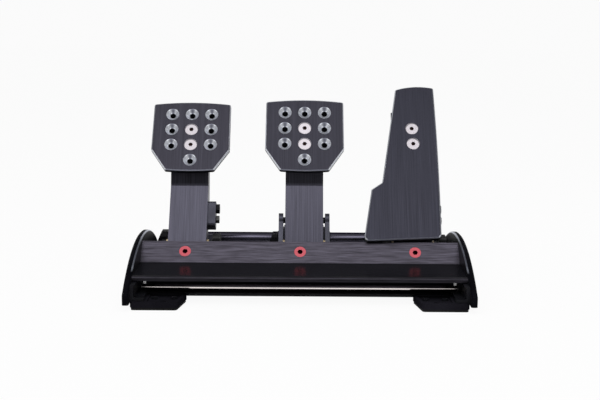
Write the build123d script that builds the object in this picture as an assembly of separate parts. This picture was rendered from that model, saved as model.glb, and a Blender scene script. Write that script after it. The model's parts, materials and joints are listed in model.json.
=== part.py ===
from build123d import *
from collections import namedtuple
from math import atan2, cos, degrees, hypot, pi, radians, sin, sqrt
import os

# Sim racing pedal set: clutch, brake and throttle units on a floor frame.
# Millimetres. X is to the driver's right, Y away from the driver, Z up from the floor.
# A point in side view is (y, z). A lean is an angle in degrees from upright, away from the driver.

# Frame: side plates, beam, rods and feet
set_depth = 320.0
inner_width = 400.0
side_plate_thickness = 7.5
side_plate_front_z = 20.3
side_plate_middle_z = 65.4
side_plate_rear_z = 9.9
side_plate_bottom_z = 8.0
side_plate_end_from_rear = 16.0
side_plate_relief_height = 8.0
side_plate_relief_from_front = 92.0
side_plate_relief_length = 160.0
side_plate_edge_chamfer = 1.6
side_plate_corner_radius = 5.0
side_plate_front_radius = 3.0
side_screw_front_from_front = 18.0
side_screw_front_z = 13.5
side_screw_rear_from_front = 90.0
side_screw_rear_z = 22.0
bar_screw_forward = 10.0
bar_screw_forward_z = 15.0
bar_screw_back = 3.0
bar_screw_back_z = 13.0

beam_bolt_from_front = 114.0
beam_bolt_z = 49.0
beam_face_lean = 40.0
beam_face_above_bolt = 14.4
beam_shelf_z = 36.4
beam_shelf_front_from_front = 30.0
beam_lip_drop = 6.0
beam_thickness = 3.0
beam_bend_radius = 3.5

bracket_thickness = 4.0
bracket_flange_width = 20.0
bracket_foot_width = 16.0
bracket_front_from_front = 13.0
bracket_length = 86.0
bracket_bend_radius = 4.0
lip_to_bracket_gap = 1.0

tie_rod_from_front = 72.0
tie_rod_z = 13.0
tie_rod_radius = 4.0
rail_width = 24.0
rail_thickness = 3.0
rail_bottom_z = 5.0
rail_height = 19.0
rail_bend_radius = 3.0

rear_bar_from_rear = 30.0
rear_bar_z = 29.4
rear_bar_radius = 10.0
rear_bar_wall = 2.0
bar_block_width = 13.0
bar_block_length = 28.0
bar_block_screw_forward = 3.5
bar_block_screw_back = 10.0
bar_block_screw_grip = 8.0
bar_block_top_z = 41.0
bar_block_socket_depth = 8.0
bar_block_chamfer_in = 4.5
bar_block_chamfer_down = 11.0
bar_block_shoulder_drop = 6.3
bar_block_crown_half = 8.4

foot_reach = 56.0
foot_front_taper = 8.0
front_foot_from_front = 9.0
front_foot_length = 46.0
rear_foot_length = 46.0
rear_foot_end_from_rear = 10.0
foot_plate_thickness = 7.0
foot_recess_depth = 1.6
foot_rim_width = 4.0
rubber_foot_thickness = 3.0
rubber_foot_inset = 1.0
foot_corner_radius = 5.0
foot_screws_from_front = (30.0, 48.0)
foot_screw_inset = 8.0
foot_bolt_outer = 27.0
foot_bolt_inner = 50.0
rig_hole_inset = 38.5
rig_hole_from_front = 19.5
rig_hole_from_rear = 46.5
rig_hole_radius = 3.3

# Pedal units: shared sizes
pedal_spacing = 145.0
brake_offset = 5.0
brake_forward = 3.5
pivot_from_front = 148.0
pivot_z = 47.0
arm_width = 49.0
arm_wall = 3.0
arm_lean = 32.0
arm_front_from_pivot = 12.0
arm_end_below_pivot = 12.0
arm_flange_behind_pivot = 14.0
arm_knee_up = 81.0
arm_flange_top_up = 72.0
neck_lean = 11.4
neck_length = 25.0
neck_flange_depth = 24.0
arm_bend_radius = 4.0
arm_end_fillet = 11.0
arm_flange_fillet = 6.0
head_length = 84.0
head_flange_length = 44.0
head_half_width = 33.0
head_wide_from = 7.0
head_corner_radius = 6.0

pad_lean = 36.0
pad_above_neck = 41.2
pad_thickness = 6.5
pad_top_half_width = 51.2
pad_side_half_width = 51.6
pad_foot_half_width = 31.8
pad_corner_up = 50.2
pad_crown_up = 53.4
pad_side_down = 19.0
pad_foot_down = 49.0
pad_sole_down = 50.5
pad_corner_radius = 3.0
pad_edge_chamfer = 1.3
pad_column_spacing = 26.0
pad_row_spacing = 22.9
pad_inner_row_share = 0.5
pad_outer_row_share = 1.5
pad_sink_radius = 8.6
pad_sink_depth = 5.0
pad_hole_radius = 3.3
pad_hole_floor = 1.0
pad_screw_length = 13.0
pad_screw_head_gap = 0.15
pad_nut_radius = 5.8
pad_nut_thickness = 3.0
hex_socket_share = 0.48
hex_socket_depth_share = 0.55
screw_dome_share = 0.6

plate_left_top_up = 75.2
plate_right_top_up = 78.3
plate_crown_up = 80.4
plate_top_left = -18.0
plate_top_right = 33.4
plate_bow_right = 35.0
plate_bow_down = 20.0
plate_bottom_right = 33.8
plate_bottom_left = -64.6
plate_left_bottom_down = 148.8
plate_right_bottom_down = 144.0
plate_waist_left = -39.2
plate_waist_down = 65.6
plate_step_left = -53.3
plate_step_down = 76.0
plate_corner_radius = 3.0
plate_foot_radius = 6.0
plate_screw_right = 2.6
plate_screw_up = 3.3
plate_screw_skew = 0.6

# Pivot, cheeks and blocks
cheek_thickness = 5.8
cheek_inner = 27.2
cheek_bottom_z = 14.0
cheek_rear_behind_bar = 14.0
cheek_seat_drop = 2.0
cheek_pivot_radius = 9.0
cheek_rod_radius = 11.0
cheek_corner_radius = 4.0
cheek_waist_z = 46.5
cheek_waist_length = 34.0
cheek_window_length = 34.0
cheek_window_height = 8.0
cheek_window_from_pivot = 32.0
cheek_window_z = 25.0
rear_window_length = 16.0
rear_window_z = 21.0
brake_ear_radius = 9.0
brake_ear_y_from_pivot = 22.0
brake_ear_z_from_pivot = 32.0
brake_ear_waist = 26.0
beam_to_cheek_gap = 1.0
block_depth = 14.0
block_above_bolt = 8.0
block_below_bolt = 11.0
block_screw_up = 2.7
block_screw_down = 6.6
cheek_screw_thread = 4.5

axle_radius = 5.0
axle_overhang = 3.0
circlip_thickness = 1.2
circlip_depth = 0.5
circlip_radius = 7.6
circlip_gap = 5.0
circlip_from_cheek = 0.2
bush_flange_radius = 10.0
bush_spigot_radius = 7.0
arm_side_gap = 0.2
running_clearance = 0.05
seat_clearance = 0.05

# Push rods, springs and stops
rod_pin_up = 55.0
rod_pin_back = 4.0
rod_pin_radius = 4.0
rod_pin_recess = 0.5
rod_pin_hex_radius = 6.6
rod_pin_hex_height = 4.4
rod_radius = 4.0
rod_eye_radius = 9.0
rod_eye_side_gap = 0.3
rod_span = 76.0
brake_rod_span = 80.0
collar_from_pin = 12.0
collar_thickness = 7.0
collar_radius = 12.5
collar_notches = 8
collar_notch_radius = 2.0
trunnion_radius = 10.0
trunnion_flat = 8.0
trunnion_side_gap = 0.2
rod_hole_clearance = 0.75
bumper_thickness = 3.0
bumper_radius = 8.5
bumper_gap = 0.3
tail_nut_flats = 13.0
tail_nut_thickness = 5.0
rod_tail = 1.2
clutch_travel = 20.0
brake_travel = 8.0
throttle_travel = 20.0
stop_up = 20.0
stop_rubber_radius = 6.0
stop_gap = 0.3
stop_bolt_radius = 3.0

spring_turns = 6.5
spring_mean_radius = 9.4
clutch_wire_radius = 1.6
throttle_wire_radius = 1.3
spring_end_gap = 0.6
spring_ramp_start = 0.5
spring_points_per_turn = 4
spring_samples = 400
spring_seat_gap = 0.3

elastomer_radius = 13.0
elastomer_bore_radius = 5.0
elastomer_groove = 1.6
elastomer_count = 3
stack_washer_thickness = 2.2
stack_washer_radius = 13.6
load_cell_height = 22.0
load_cell_slot_radius = 3.0
load_cell_slot_from_centre = 14.0
load_cell_slot_length = 5.0

side_block_thickness = 10.4
side_block_low = 27.0
side_block_high = 62.0
side_block_front = 8.0
side_block_back = 11.0
side_block_fillet = 4.0
side_bolt_below_pin = 15.0
side_bolt_radius = 3.0
side_bolt_head_radius = 5.2

sensor_thickness = 9.0
sensor_width = 24.0
sensor_below_pivot = 12.0
sensor_above_pivot = 17.0
sensor_fillet = 4.0
sensor_well_radius = 8.6
sensor_well_depth = 4.5
sensor_plug_width = 9.0
sensor_plug_height = 8.0
sensor_plug_reach = 5.0

clamp_width = 14.8
clutch_clamp_width = 8.6
clamp_half_length = 14.0
clamp_top_drop = 0.8
clamp_chamfer = 4.0
clamp_bolt_y = 10.8
clamp_bolt_z = 9.6

# Fasteners
beam_bolt_radius = 4.0
beam_bolt_head_radius = 7.3
beam_bolt_head_depth = 4.2
beam_bolt_length = 16.0
m6_radius = 3.0
m6_head_radius = 5.2
m6_head_height = 3.3
m5_radius = 2.5
m5_head_radius = 4.7
m5_head_height = 2.8
m4_radius = 2.0
m4_head_radius = 3.8
m4_head_height = 2.2
screw_hole_clearance = 0.1
screw_grip = 10.0
cut_overrun = 1.0

# Electronics
housing_width = 56.0
housing_centre_x = -78.0
housing_length = 60.0
housing_bottom_z = 3.2
housing_height = 13.0
cover_thickness = 2.4
housing_wall = 2.0
housing_corner_radius = 4.0
saddle_length = 16.0
saddle_width = 10.0
board_thickness = 1.6
board_gap = 0.4
socket_overhang = 2.0
socket_wall = 1.3
socket_length = 14.0
data_socket_width = 14.0
data_socket_height = 10.0
usb_socket_width = 12.0
usb_socket_height = 9.4
socket_spacing = 22.0
housing_screw_radius = 2.0
housing_screw_grip = 3.0
housing_screw_offset = 17.0
cover_lip_thickness = 1.6

# Places that follow from the sizes above
front_y = -set_depth / 2
bolt = (front_y + beam_bolt_from_front, beam_bolt_z)
pivot = (front_y + pivot_from_front, pivot_z)
rear_y = front_y + set_depth
bar = (rear_y - rear_bar_from_rear, rear_bar_z)
tie = (front_y + tie_rod_from_front, tie_rod_z)
inner_x = inner_width / 2
outer_x = inner_x + side_plate_thickness
foot_top_z = rubber_foot_thickness + foot_plate_thickness
arm_half = arm_width / 2
cheek_outer = cheek_inner + cheek_thickness
clutch_x = -pedal_spacing
throttle_x = pedal_spacing

# A pedal unit: its centre, its travel in degrees, its rod's length up to the cross block, how far its
# rest position stands forward of the common one in degrees, and whether its cheeks have raised ears
Unit = namedtuple("Unit", "name x travel span forward ears")
clutch = Unit("clutch", clutch_x, clutch_travel, rod_span, 0, False)
brake = Unit("brake", brake_offset, brake_travel, brake_rod_span, brake_forward, True)
throttle = Unit("throttle", throttle_x, throttle_travel, rod_span, 0, False)
units = (clutch, brake, throttle)
beam_bolt_xs = (clutch_x, 0, throttle_x)


def leaning(start, lean, up, back):
    """The side-view point that lies up and back from a start, both measured along a lean."""
    angle = radians(lean)
    y = start[0] + up * sin(angle) + back * cos(angle)
    z = start[1] + up * cos(angle) - back * sin(angle)
    return (y, z)


def disc(centre, radius):
    """A round face in side view."""
    return Pos(centre[0], centre[1]) * Circle(radius)


def outline(points):
    """A closed side-view face with straight edges."""
    return make_face(Polyline(*points, close=True))


def rounded(face, points, radius):
    """The face with the corners that lie at these points rounded."""
    corners = []
    for point in points:
        place = Vector(point[0], point[1], 0)
        corners.append(min(face.vertices(), key=lambda v: (Vector(v.X, v.Y, 0) - place).length))
    return fillet(corners, radius)


def slab(face, low_x, high_x):
    """A plate: a side-view face given a thickness along X."""
    return Pos(low_x, 0, 0) * extrude(Plane.YZ * face, high_x - low_x)


def bar_x(centre, radius, low_x, high_x):
    """A round bar along X through a side-view point."""
    return slab(disc(centre, radius), low_x, high_x)


def group(solids):
    """Separate solids that share one node."""
    found = []
    for item in solids:
        found.extend(item.solids())
    return Compound(found)


def shifted(points, distance):
    """An open line of points moved sideways, to its left when the distance is above zero."""
    normals = []
    for first, second in zip(points, points[1:]):
        y = second[0] - first[0]
        z = second[1] - first[1]
        size = hypot(y, z)
        normals.append((-z / size, y / size))
    moved = []
    for index, point in enumerate(points):
        before = normals[max(index - 1, 0)]
        after = normals[min(index, len(normals) - 1)]
        spread = 1 + before[0] * after[0] + before[1] * after[1]
        y = (before[0] + after[0]) / spread
        z = (before[1] + after[1]) / spread
        moved.append((point[0] + distance * y, point[1] + distance * z))
    return moved


def folded_sheet(points, thickness, bend, side):
    """Side view of a bent sheet whose outer face follows the points; side 1 puts it on their left."""
    middle = shifted(points, side * thickness / 2)
    return trace(FilletPolyline(*middle, radius=bend), line_width=thickness)


def mirrored_pair(solid):
    """A solid on the right and its mirror image on the left."""
    return [solid, mirror(solid, Plane.YZ)]


def button_screw(centre, shank_radius, head_radius, head_height, from_x, grip, side):
    """A round-headed screw along X: its head stands outside from_x, on the side named 1 or -1."""
    inner = from_x - side * grip
    outer = from_x + side * head_height
    shank = bar_x(centre, shank_radius, min(from_x, inner), max(from_x, inner))
    head = bar_x(centre, head_radius, min(from_x, outer), max(from_x, outer))
    rim = head.edges().filter_by(GeomType.CIRCLE).sort_by(Axis.X)
    rim = rim[-1] if side > 0 else rim[0]
    head = fillet(rim, head_height * screw_dome_share)
    key = RegularPolygon(head_radius * hex_socket_share, 6)
    key = slab(Pos(centre[0], centre[1]) * key, outer - head_height / 2, outer + head_height / 2)
    return shank + head - key


# Frame


def make_side_plate():
    """The D-shaped plate at the right end, with an arc on top and a relief between the feet."""
    end_y = rear_y - side_plate_end_from_rear
    front_corner = (front_y, side_plate_front_z)
    rear_corner = (end_y, side_plate_rear_z)
    toe = (front_y, side_plate_bottom_z)
    heel = (end_y, side_plate_bottom_z)
    edges = [
        ThreePointArc(front_corner, ((front_y + end_y) / 2, side_plate_middle_z), rear_corner),
        Line(rear_corner, heel),
        Line(heel, toe),
        Line(toe, front_corner),
    ]
    face = make_face(edges)
    relief_low = front_y + side_plate_relief_from_front
    relief_high = relief_low + side_plate_relief_length
    top = side_plate_bottom_z + side_plate_relief_height
    relief = outline(
        [
            (relief_low - side_plate_relief_height, side_plate_bottom_z),
            (relief_high + side_plate_relief_height, side_plate_bottom_z),
            (relief_high, top),
            (relief_low, top),
        ]
    )
    face = face - relief
    face = rounded(face, [(relief_low, top), (relief_high, top)], side_plate_corner_radius)
    face = rounded(face, [front_corner], side_plate_front_radius)
    plate = slab(face, inner_x, outer_x)
    arc = plate.edges().filter_by(GeomType.CIRCLE).sort_by(SortBy.LENGTH)[-2:]
    plate = chamfer(arc, side_plate_edge_chamfer)
    for place, radius in frame_screw_places():
        hole = bar_x(place, radius + screw_hole_clearance, inner_x, outer_x)
        plate = plate - hole
    return plate


def frame_screw_places():
    """Side-view places and shank radii of the screws through a side plate."""
    places = [
        ((front_y + side_screw_front_from_front, side_screw_front_z), m4_radius),
        ((front_y + side_screw_rear_from_front, side_screw_rear_z), m5_radius),
        (tie, m4_radius),
        ((bar[0] - bar_screw_forward, bar_screw_forward_z), m5_radius),
        ((bar[0] + bar_screw_back, bar_screw_back_z), m4_radius),
    ]
    return places


def foot_screw_places():
    """Y and grip of the upright screws: two hold a foot to its bracket, two to its bar block."""
    places = [(front_y + distance, bracket_thickness) for distance in foot_screws_from_front]
    places.append((bar[0] - bar_block_screw_forward, bar_block_screw_grip))
    places.append((bar[0] + bar_block_screw_back, bar_block_screw_grip))
    return places


def make_front_beam():
    """The folded plate across the front: sloping face, shelf and lip, with three countersunk holes."""
    fold_down = (beam_bolt_z - beam_shelf_z) / cos(radians(beam_face_lean))
    shelf_front = front_y + beam_shelf_front_from_front
    points = [
        leaning(bolt, beam_face_lean, beam_face_above_bolt, 0),
        leaning(bolt, beam_face_lean, -fold_down, 0),
        (shelf_front, beam_shelf_z),
        (shelf_front, beam_shelf_z - beam_lip_drop),
    ]
    sheet = folded_sheet(points, beam_thickness, beam_bend_radius, 1)
    beam = slab(sheet, -inner_x, inner_x)
    for x in beam_bolt_xs:
        beam = beam - beam_bolt_space(x)
    return beam


def bolt_frame(x):
    """The frame of a beam bolt: Z points out of the sloping face."""
    angle = radians(beam_face_lean)
    return Plane(origin=(x, bolt[0], bolt[1]), x_dir=(1, 0, 0), z_dir=(0, -cos(angle), sin(angle)))


def countersunk(head_radius, shank_radius, head_depth, length):
    """A countersunk screw, head up, with its top at the origin."""
    profile = Polyline(
        (0, 0),
        (head_radius, 0),
        (shank_radius, -head_depth),
        (shank_radius, -length),
        (0, -length),
        close=True,
    )
    return revolve(Plane.XZ * make_face(profile), Axis.Z)


def beam_bolt_space(x):
    """What a beam bolt takes out of the beam and the block behind it."""
    space = countersunk(
        beam_bolt_head_radius + pad_screw_head_gap,
        beam_bolt_radius + screw_hole_clearance,
        beam_bolt_head_depth,
        beam_bolt_length + cut_overrun,
    )
    return bolt_frame(x) * space


def make_beam_bolts():
    """Three red bolts that hold the pedal units to the beam."""
    bolts = []
    for x in beam_bolt_xs:
        screw = countersunk(
            beam_bolt_head_radius, beam_bolt_radius, beam_bolt_head_depth, beam_bolt_length
        )
        depth = beam_bolt_head_depth * hex_socket_depth_share
        key = extrude(RegularPolygon(beam_bolt_head_radius * hex_socket_share, 6), -depth)
        bolts.append(bolt_frame(x) * (screw - key))
    return group(bolts)


def make_beam_brackets():
    """Brackets that tie beam, side plate and front foot: a leg under the shelf and one on the foot."""
    top = beam_shelf_z - beam_thickness
    points = [
        (inner_x - bracket_flange_width, top),
        (inner_x, top),
        (inner_x, foot_top_z),
        (inner_x - bracket_foot_width, foot_top_z),
    ]
    low_y = front_y + bracket_front_from_front
    foot_end = front_y + front_foot_from_front + front_foot_length
    bent_twice = folded_sheet(points, bracket_thickness, bracket_bend_radius, -1)
    bent_once = folded_sheet(points[:3], bracket_thickness, bracket_bend_radius, -1)
    bracket = extrude(Plane.XZ * bent_twice, low_y - foot_end)
    bracket = bracket + extrude(Plane.XZ * bent_once, -bracket_length)
    bracket = Pos(0, low_y, 0) * bracket
    shelf_front = front_y + beam_shelf_front_from_front
    notch = Box(
        bracket_flange_width * 2,
        shelf_front + beam_thickness + beam_bend_radius - low_y,
        beam_lip_drop * 2,
        align=(Align.MAX, Align.MIN, Align.MIN),
    )
    bracket = bracket - Pos(inner_x, low_y, beam_shelf_z - beam_lip_drop - lip_to_bracket_gap) * notch
    bracket = bracket - bar_x(tie, tie_rod_radius + seat_clearance, 0, inner_x)
    for place, radius in frame_screw_places()[:2]:
        bracket = bracket - bar_x(place, radius, 0, inner_x)
    for place in foot_screw_places()[:2]:
        bracket = bracket - foot_screw(place, 0)
    return group(mirrored_pair(bracket))


def make_tie_rod():
    """The polished rod under the lip, from side plate to side plate."""
    rod = bar_x(tie, tie_rod_radius, -inner_x, inner_x)
    for side in (-1, 1):
        low = min(side * inner_x, side * (inner_x - screw_grip))
        rod = rod - bar_x(tie, m4_radius, low, low + screw_grip)
    return rod


def make_lower_rail():
    """The dark angle below and behind the tie rod, with upturned ends that hang on the rod."""
    reach = inner_x - bracket_thickness
    points = [
        (-reach, rail_bottom_z + rail_height),
        (-reach, rail_bottom_z),
        (reach, rail_bottom_z),
        (reach, rail_bottom_z + rail_height),
    ]
    profile = folded_sheet(points, rail_thickness, rail_bend_radius, 1)
    low_y = tie[0] - rail_width / 2
    high_y = tie[0] + rail_width / 2
    bend_y = high_y - rail_thickness - rail_bend_radius
    rail = Pos(0, low_y, 0) * extrude(Plane.XZ * profile, low_y - bend_y)
    points = [
        (low_y, rail_bottom_z),
        (high_y, rail_bottom_z),
        (high_y, rail_bottom_z + rail_height),
    ]
    side = folded_sheet(points, rail_thickness, rail_bend_radius, 1)
    end = reach - rail_thickness - rail_bend_radius
    rail = rail + slab(side, -end, end)
    return rail - bar_x(tie, tie_rod_radius + seat_clearance, -inner_x, inner_x)


def make_rear_bar():
    """The tube across the rear that the pedal units rest on."""
    reach = inner_x - bar_block_width + bar_block_socket_depth - seat_clearance
    tube = disc(bar, rear_bar_radius) - disc(bar, rear_bar_radius - rear_bar_wall)
    tube = slab(tube, -reach, reach)
    for x in housing_screw_xs():
        tube = tube - housing_screw_shank(x)
    return tube


def make_bar_block():
    """The block that holds the right end of the rear bar to its side plate."""
    low_x = inner_x - bar_block_width
    half = bar_block_length / 2
    shoulder = bar_block_top_z - bar_block_shoulder_drop
    face = outline(
        [
            (bar[0] - half, foot_top_z),
            (bar[0] + half, foot_top_z),
            (bar[0] + half, shoulder),
            (bar[0] + bar_block_crown_half, bar_block_top_z),
            (bar[0] - bar_block_crown_half, bar_block_top_z),
            (bar[0] - half, shoulder),
        ]
    )
    block = slab(face, low_x, inner_x)
    wedge = Polyline(
        (inner_x, bar_block_top_z - bar_block_chamfer_down),
        (inner_x, bar_block_top_z),
        (inner_x - bar_block_chamfer_in, bar_block_top_z),
        close=True,
    )
    wedge = extrude(Plane.XZ * make_face(wedge), bar_block_length, both=True)
    block = block - Pos(0, bar[0], 0) * wedge
    socket = bar_x(bar, rear_bar_radius + seat_clearance, low_x, low_x + bar_block_socket_depth)
    block = block - socket
    for place, radius in frame_screw_places()[3:]:
        block = block - bar_x(place, radius, inner_x - screw_grip, inner_x)
    for place in foot_screw_places()[2:]:
        block = block - foot_screw(place, 0)
    return block


def foot_face(low_y, length, taper_front, inset):
    """Plan view of a right-hand foot, tapered at its inner end."""
    inner = inner_x - foot_reach - foot_front_taper
    near = inner + foot_front_taper if taper_front else inner
    far = inner if taper_front else inner + foot_front_taper
    high_y = low_y + length
    face = make_face(
        Polyline((near, low_y), (inner_x, low_y), (inner_x, high_y), (far, high_y), close=True)
    )
    face = fillet(face.vertices(), foot_corner_radius)
    if inset:
        face = offset(face, -inset)
    return face


def foot_bolt_xs():
    """Where the bolts that hold a rubber foot stand, along X."""
    return (inner_x - foot_bolt_inner, inner_x - foot_bolt_outer)


def foot_bolt_holes(low_y, length):
    """The holes through a foot: two for its own bolts and one to fasten the set to a rig."""
    holes = []
    for x in foot_bolt_xs():
        holes.append(Pos(x, low_y + length / 2, 0) * Cylinder(m4_radius, set_depth))
    for y in (front_y + rig_hole_from_front, rear_y - rig_hole_from_rear):
        holes.append(Pos(inner_x - rig_hole_inset, y, 0) * Cylinder(rig_hole_radius, set_depth))
    return holes


def make_foot_pair(low_y, length, taper_front):
    """Left and right foot plates at one end of the set, with a shallow tray on top."""
    bottom = rubber_foot_thickness
    plate = extrude(foot_face(low_y, length, taper_front, 0), foot_plate_thickness)
    tray = extrude(foot_face(low_y, length, taper_front, foot_rim_width), foot_plate_thickness)
    keep = Box(set_depth, set_depth, foot_plate_thickness * 3)
    keep_x = inner_x - bracket_foot_width - foot_rim_width + set_depth / 2
    tray = tray - Pos(keep_x, 0, 0) * keep
    plate = plate - Pos(0, 0, foot_plate_thickness - foot_recess_depth) * tray
    plate = Pos(0, 0, bottom) * plate
    for place in foot_screw_places():
        if low_y < place[0] < low_y + length:
            plate = plate - foot_screw(place, pad_screw_head_gap)
    plate = plate - foot_bolt_holes(low_y, length)
    return group(mirrored_pair(plate))


def foot_screw(place, gap):
    """A countersunk screw up through a foot plate, under its rubber sole."""
    screw = countersunk(
        m4_head_radius + gap,
        m4_radius,
        m4_head_height + gap,
        foot_plate_thickness + place[1],
    )
    x = inner_x - foot_screw_inset
    return Pos(x, place[0], rubber_foot_thickness) * (Rot(180, 0, 0) * screw)


def make_rubber_feet():
    """Four rubber soles under the foot plates."""
    soles = []
    for low_y, length, taper_front in foot_rows():
        sole = extrude(
            foot_face(low_y, length, taper_front, rubber_foot_inset), rubber_foot_thickness
        )
        sole = sole - foot_bolt_holes(low_y, length)
        soles.extend(mirrored_pair(sole))
    return group(soles)


def foot_rows():
    """Start, length and taper of the front and rear feet."""
    rear = rear_y - rear_foot_end_from_rear - rear_foot_length
    return [
        (front_y + front_foot_from_front, front_foot_length, True),
        (rear, rear_foot_length, False),
    ]


def make_frame_screws():
    """The frame's own screws: through the side plates, at the feet and under the housing."""
    screws = []
    heads = {m4_radius: (m4_head_radius, m4_head_height), m5_radius: (m5_head_radius, m5_head_height)}
    for place, radius in frame_screw_places():
        head_radius, head_height = heads[radius]
        grip = side_plate_thickness + bracket_thickness
        if place[0] > 0 or place == tie:
            grip = side_plate_thickness + screw_grip
        screw = button_screw(place, radius, head_radius, head_height, outer_x, grip, 1)
        screws.extend(mirrored_pair(screw))
    for place in foot_screw_places():
        screws.extend(mirrored_pair(foot_screw(place, 0)))
    for low_y, length, _ in foot_rows():
        for x in foot_bolt_xs():
            top = foot_top_z - foot_recess_depth
            shank = Cylinder(m4_radius, top, align=(Align.CENTER, Align.CENTER, Align.MIN))
            head = Cylinder(
                m4_head_radius, m4_head_height, align=(Align.CENTER, Align.CENTER, Align.MIN)
            )
            screw = shank + Pos(0, 0, top) * head
            screws.extend(mirrored_pair(Pos(x, low_y + length / 2, 0) * screw))
    return group(screws + make_housing_screws())


# Places inside a pedal unit

knee = leaning(pivot, arm_lean, arm_knee_up, -arm_front_from_pivot)
neck_top = leaning(knee, neck_lean, neck_length, 0)
pad_centre = leaning(neck_top, pad_lean, pad_above_neck, -pad_thickness)
rod_pin = leaning(pivot, arm_lean, rod_pin_up, rod_pin_back)
lever = hypot(rod_pin_up, rod_pin_back)
lever_lean = arm_lean + degrees(atan2(rod_pin_back, rod_pin_up))


def swing(unit):
    """Moves what is built in the common pose to a unit's centre and its own rest position."""
    return Pos(unit.x, *pivot) * Rot(unit.forward, 0, 0) * Pos(0, -pivot[0], -pivot[1])


def pin_place(unit):
    """The side-view point of a unit's rod pin at rest."""
    return leaning(pivot, arm_lean - unit.forward, rod_pin_up, rod_pin_back)


def rod_slope(unit):
    """The rod's slope below level: square to its lever in the middle of the pedal's travel."""
    return lever_lean - unit.forward + unit.travel / 2


def rod_drift(unit):
    """How far the rod moves sideways in mid travel, which its hole has to clear."""
    return lever * (1 - cos(radians(unit.travel / 2)))


def rod_place(unit, distance):
    """The side-view point at a distance down the rod from its pin."""
    return leaning(pin_place(unit), rod_slope(unit), 0, distance)


def rod_frame(unit, distance):
    """A frame on the rod's line at a distance from its pin, with Z pointing down the rod."""
    angle = radians(rod_slope(unit))
    y, z = rod_place(unit, distance)
    return Plane(origin=(0, y, z), x_dir=(1, 0, 0), z_dir=(0, cos(angle), -sin(angle)))


def hole_frame(unit, distance):
    """As rod_frame, moved sideways by half the drift, so that the hole shares it both ways."""
    angle = radians(rod_slope(unit))
    half = rod_drift(unit) / 2
    y, z = rod_place(unit, distance)
    y = y + half * sin(angle)
    z = z + half * cos(angle)
    return Plane(origin=(0, y, z), x_dir=(1, 0, 0), z_dir=(0, cos(angle), -sin(angle)))


def pad_frame():
    """The frame of a pad's front face: X across, Y up the pad, Z out towards the driver."""
    angle = radians(pad_lean)
    return Plane(
        origin=(0, pad_centre[0], pad_centre[1]),
        x_dir=(1, 0, 0),
        z_dir=(0, -cos(angle), sin(angle)),
    )


def free_hole_places():
    """The eight holes around a pad's two screws, across and up from the pad's centre."""
    places = [(0, pad_row_spacing * pad_outer_row_share), (0, -pad_row_spacing * pad_outer_row_share)]
    for row_share in (pad_outer_row_share, pad_inner_row_share, -pad_inner_row_share):
        for column in (-pad_column_spacing, pad_column_spacing):
            places.append((column, row_share * pad_row_spacing))
    return places


def pad_screw_places(unit):
    """The two holes that hold a pad's screws, across and up from the pad's centre."""
    half = pad_row_spacing * pad_inner_row_share
    if unit is throttle:
        upper = (plate_screw_right - plate_screw_skew, plate_screw_up + half)
        return [upper, (plate_screw_right + plate_screw_skew, plate_screw_up - half)]
    return [(0, half), (0, -half)]


def make_arm(unit):
    """A pedal arm: one folded channel with a flat head behind the pad."""
    head_top = leaning(neck_top, pad_lean, head_length, 0)
    foot = leaning(pivot, arm_lean, 0, -arm_front_from_pivot)
    web = folded_sheet([foot, knee, neck_top, head_top], arm_wall, arm_bend_radius, -1)
    arm = slab(web, -arm_half, arm_half)
    low_front = leaning(pivot, arm_lean, -arm_end_below_pivot, -arm_front_from_pivot)
    low_back = leaning(pivot, arm_lean, -arm_end_below_pivot, arm_flange_behind_pivot)
    high_back = leaning(pivot, arm_lean, arm_flange_top_up, arm_flange_behind_pivot)
    neck_back = leaning(neck_top, pad_lean, 0, neck_flange_depth)
    face = outline(
        [
            low_front,
            knee,
            neck_top,
            leaning(neck_top, pad_lean, head_flange_length, 0),
            leaning(neck_top, pad_lean, head_flange_length, arm_wall),
            neck_back,
            high_back,
            low_back,
        ]
    )
    face = rounded(face, [low_front, low_back], arm_end_fillet)
    face = rounded(face, [high_back, neck_back], arm_flange_fillet)
    face = rounded(face, [knee], arm_bend_radius - arm_wall / 2)
    face = rounded(face, [neck_top], arm_bend_radius + arm_wall / 2)
    face = face - disc(pivot, bush_spigot_radius + running_clearance)
    face = face - disc(rod_pin, rod_pin_radius)
    for low_x in (-arm_half, arm_half - arm_wall):
        arm = arm + slab(face, low_x, low_x + arm_wall)
    half_head = arm_half if unit is throttle else head_half_width
    head = Pos(0, (head_length + head_wide_from) / 2 - pad_above_neck) * RectangleRounded(
        half_head * 2, head_length - head_wide_from, head_corner_radius
    )
    head = Pos(0, 0, -pad_thickness - arm_wall) * extrude(head, arm_wall)
    arm = arm + pad_frame() * head
    for across, up in pad_screw_places(unit):
        hole = Cylinder(m6_radius + screw_hole_clearance, pad_screw_length * 3)
        arm = arm - pad_frame() * (Pos(across, up, 0) * hole)
    return arm


def pad_outline():
    """Front view of a pad: crowned top, straight sides, cut lower corners."""
    top_left = (-pad_top_half_width, pad_corner_up)
    top_right = (pad_top_half_width, pad_corner_up)
    side_right = (pad_side_half_width, -pad_side_down)
    foot_right = (pad_foot_half_width, -pad_foot_down)
    foot_left = (-pad_foot_half_width, -pad_foot_down)
    side_left = (-pad_side_half_width, -pad_side_down)
    edges = [
        ThreePointArc(top_left, (0, pad_crown_up), top_right),
        Line(top_right, side_right),
        Line(side_right, foot_right),
        ThreePointArc(foot_right, (0, -pad_sole_down), foot_left),
        Line(foot_left, side_left),
        Line(side_left, top_left),
    ]
    face = make_face(edges)
    return fillet(face.vertices(), pad_corner_radius)


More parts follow.
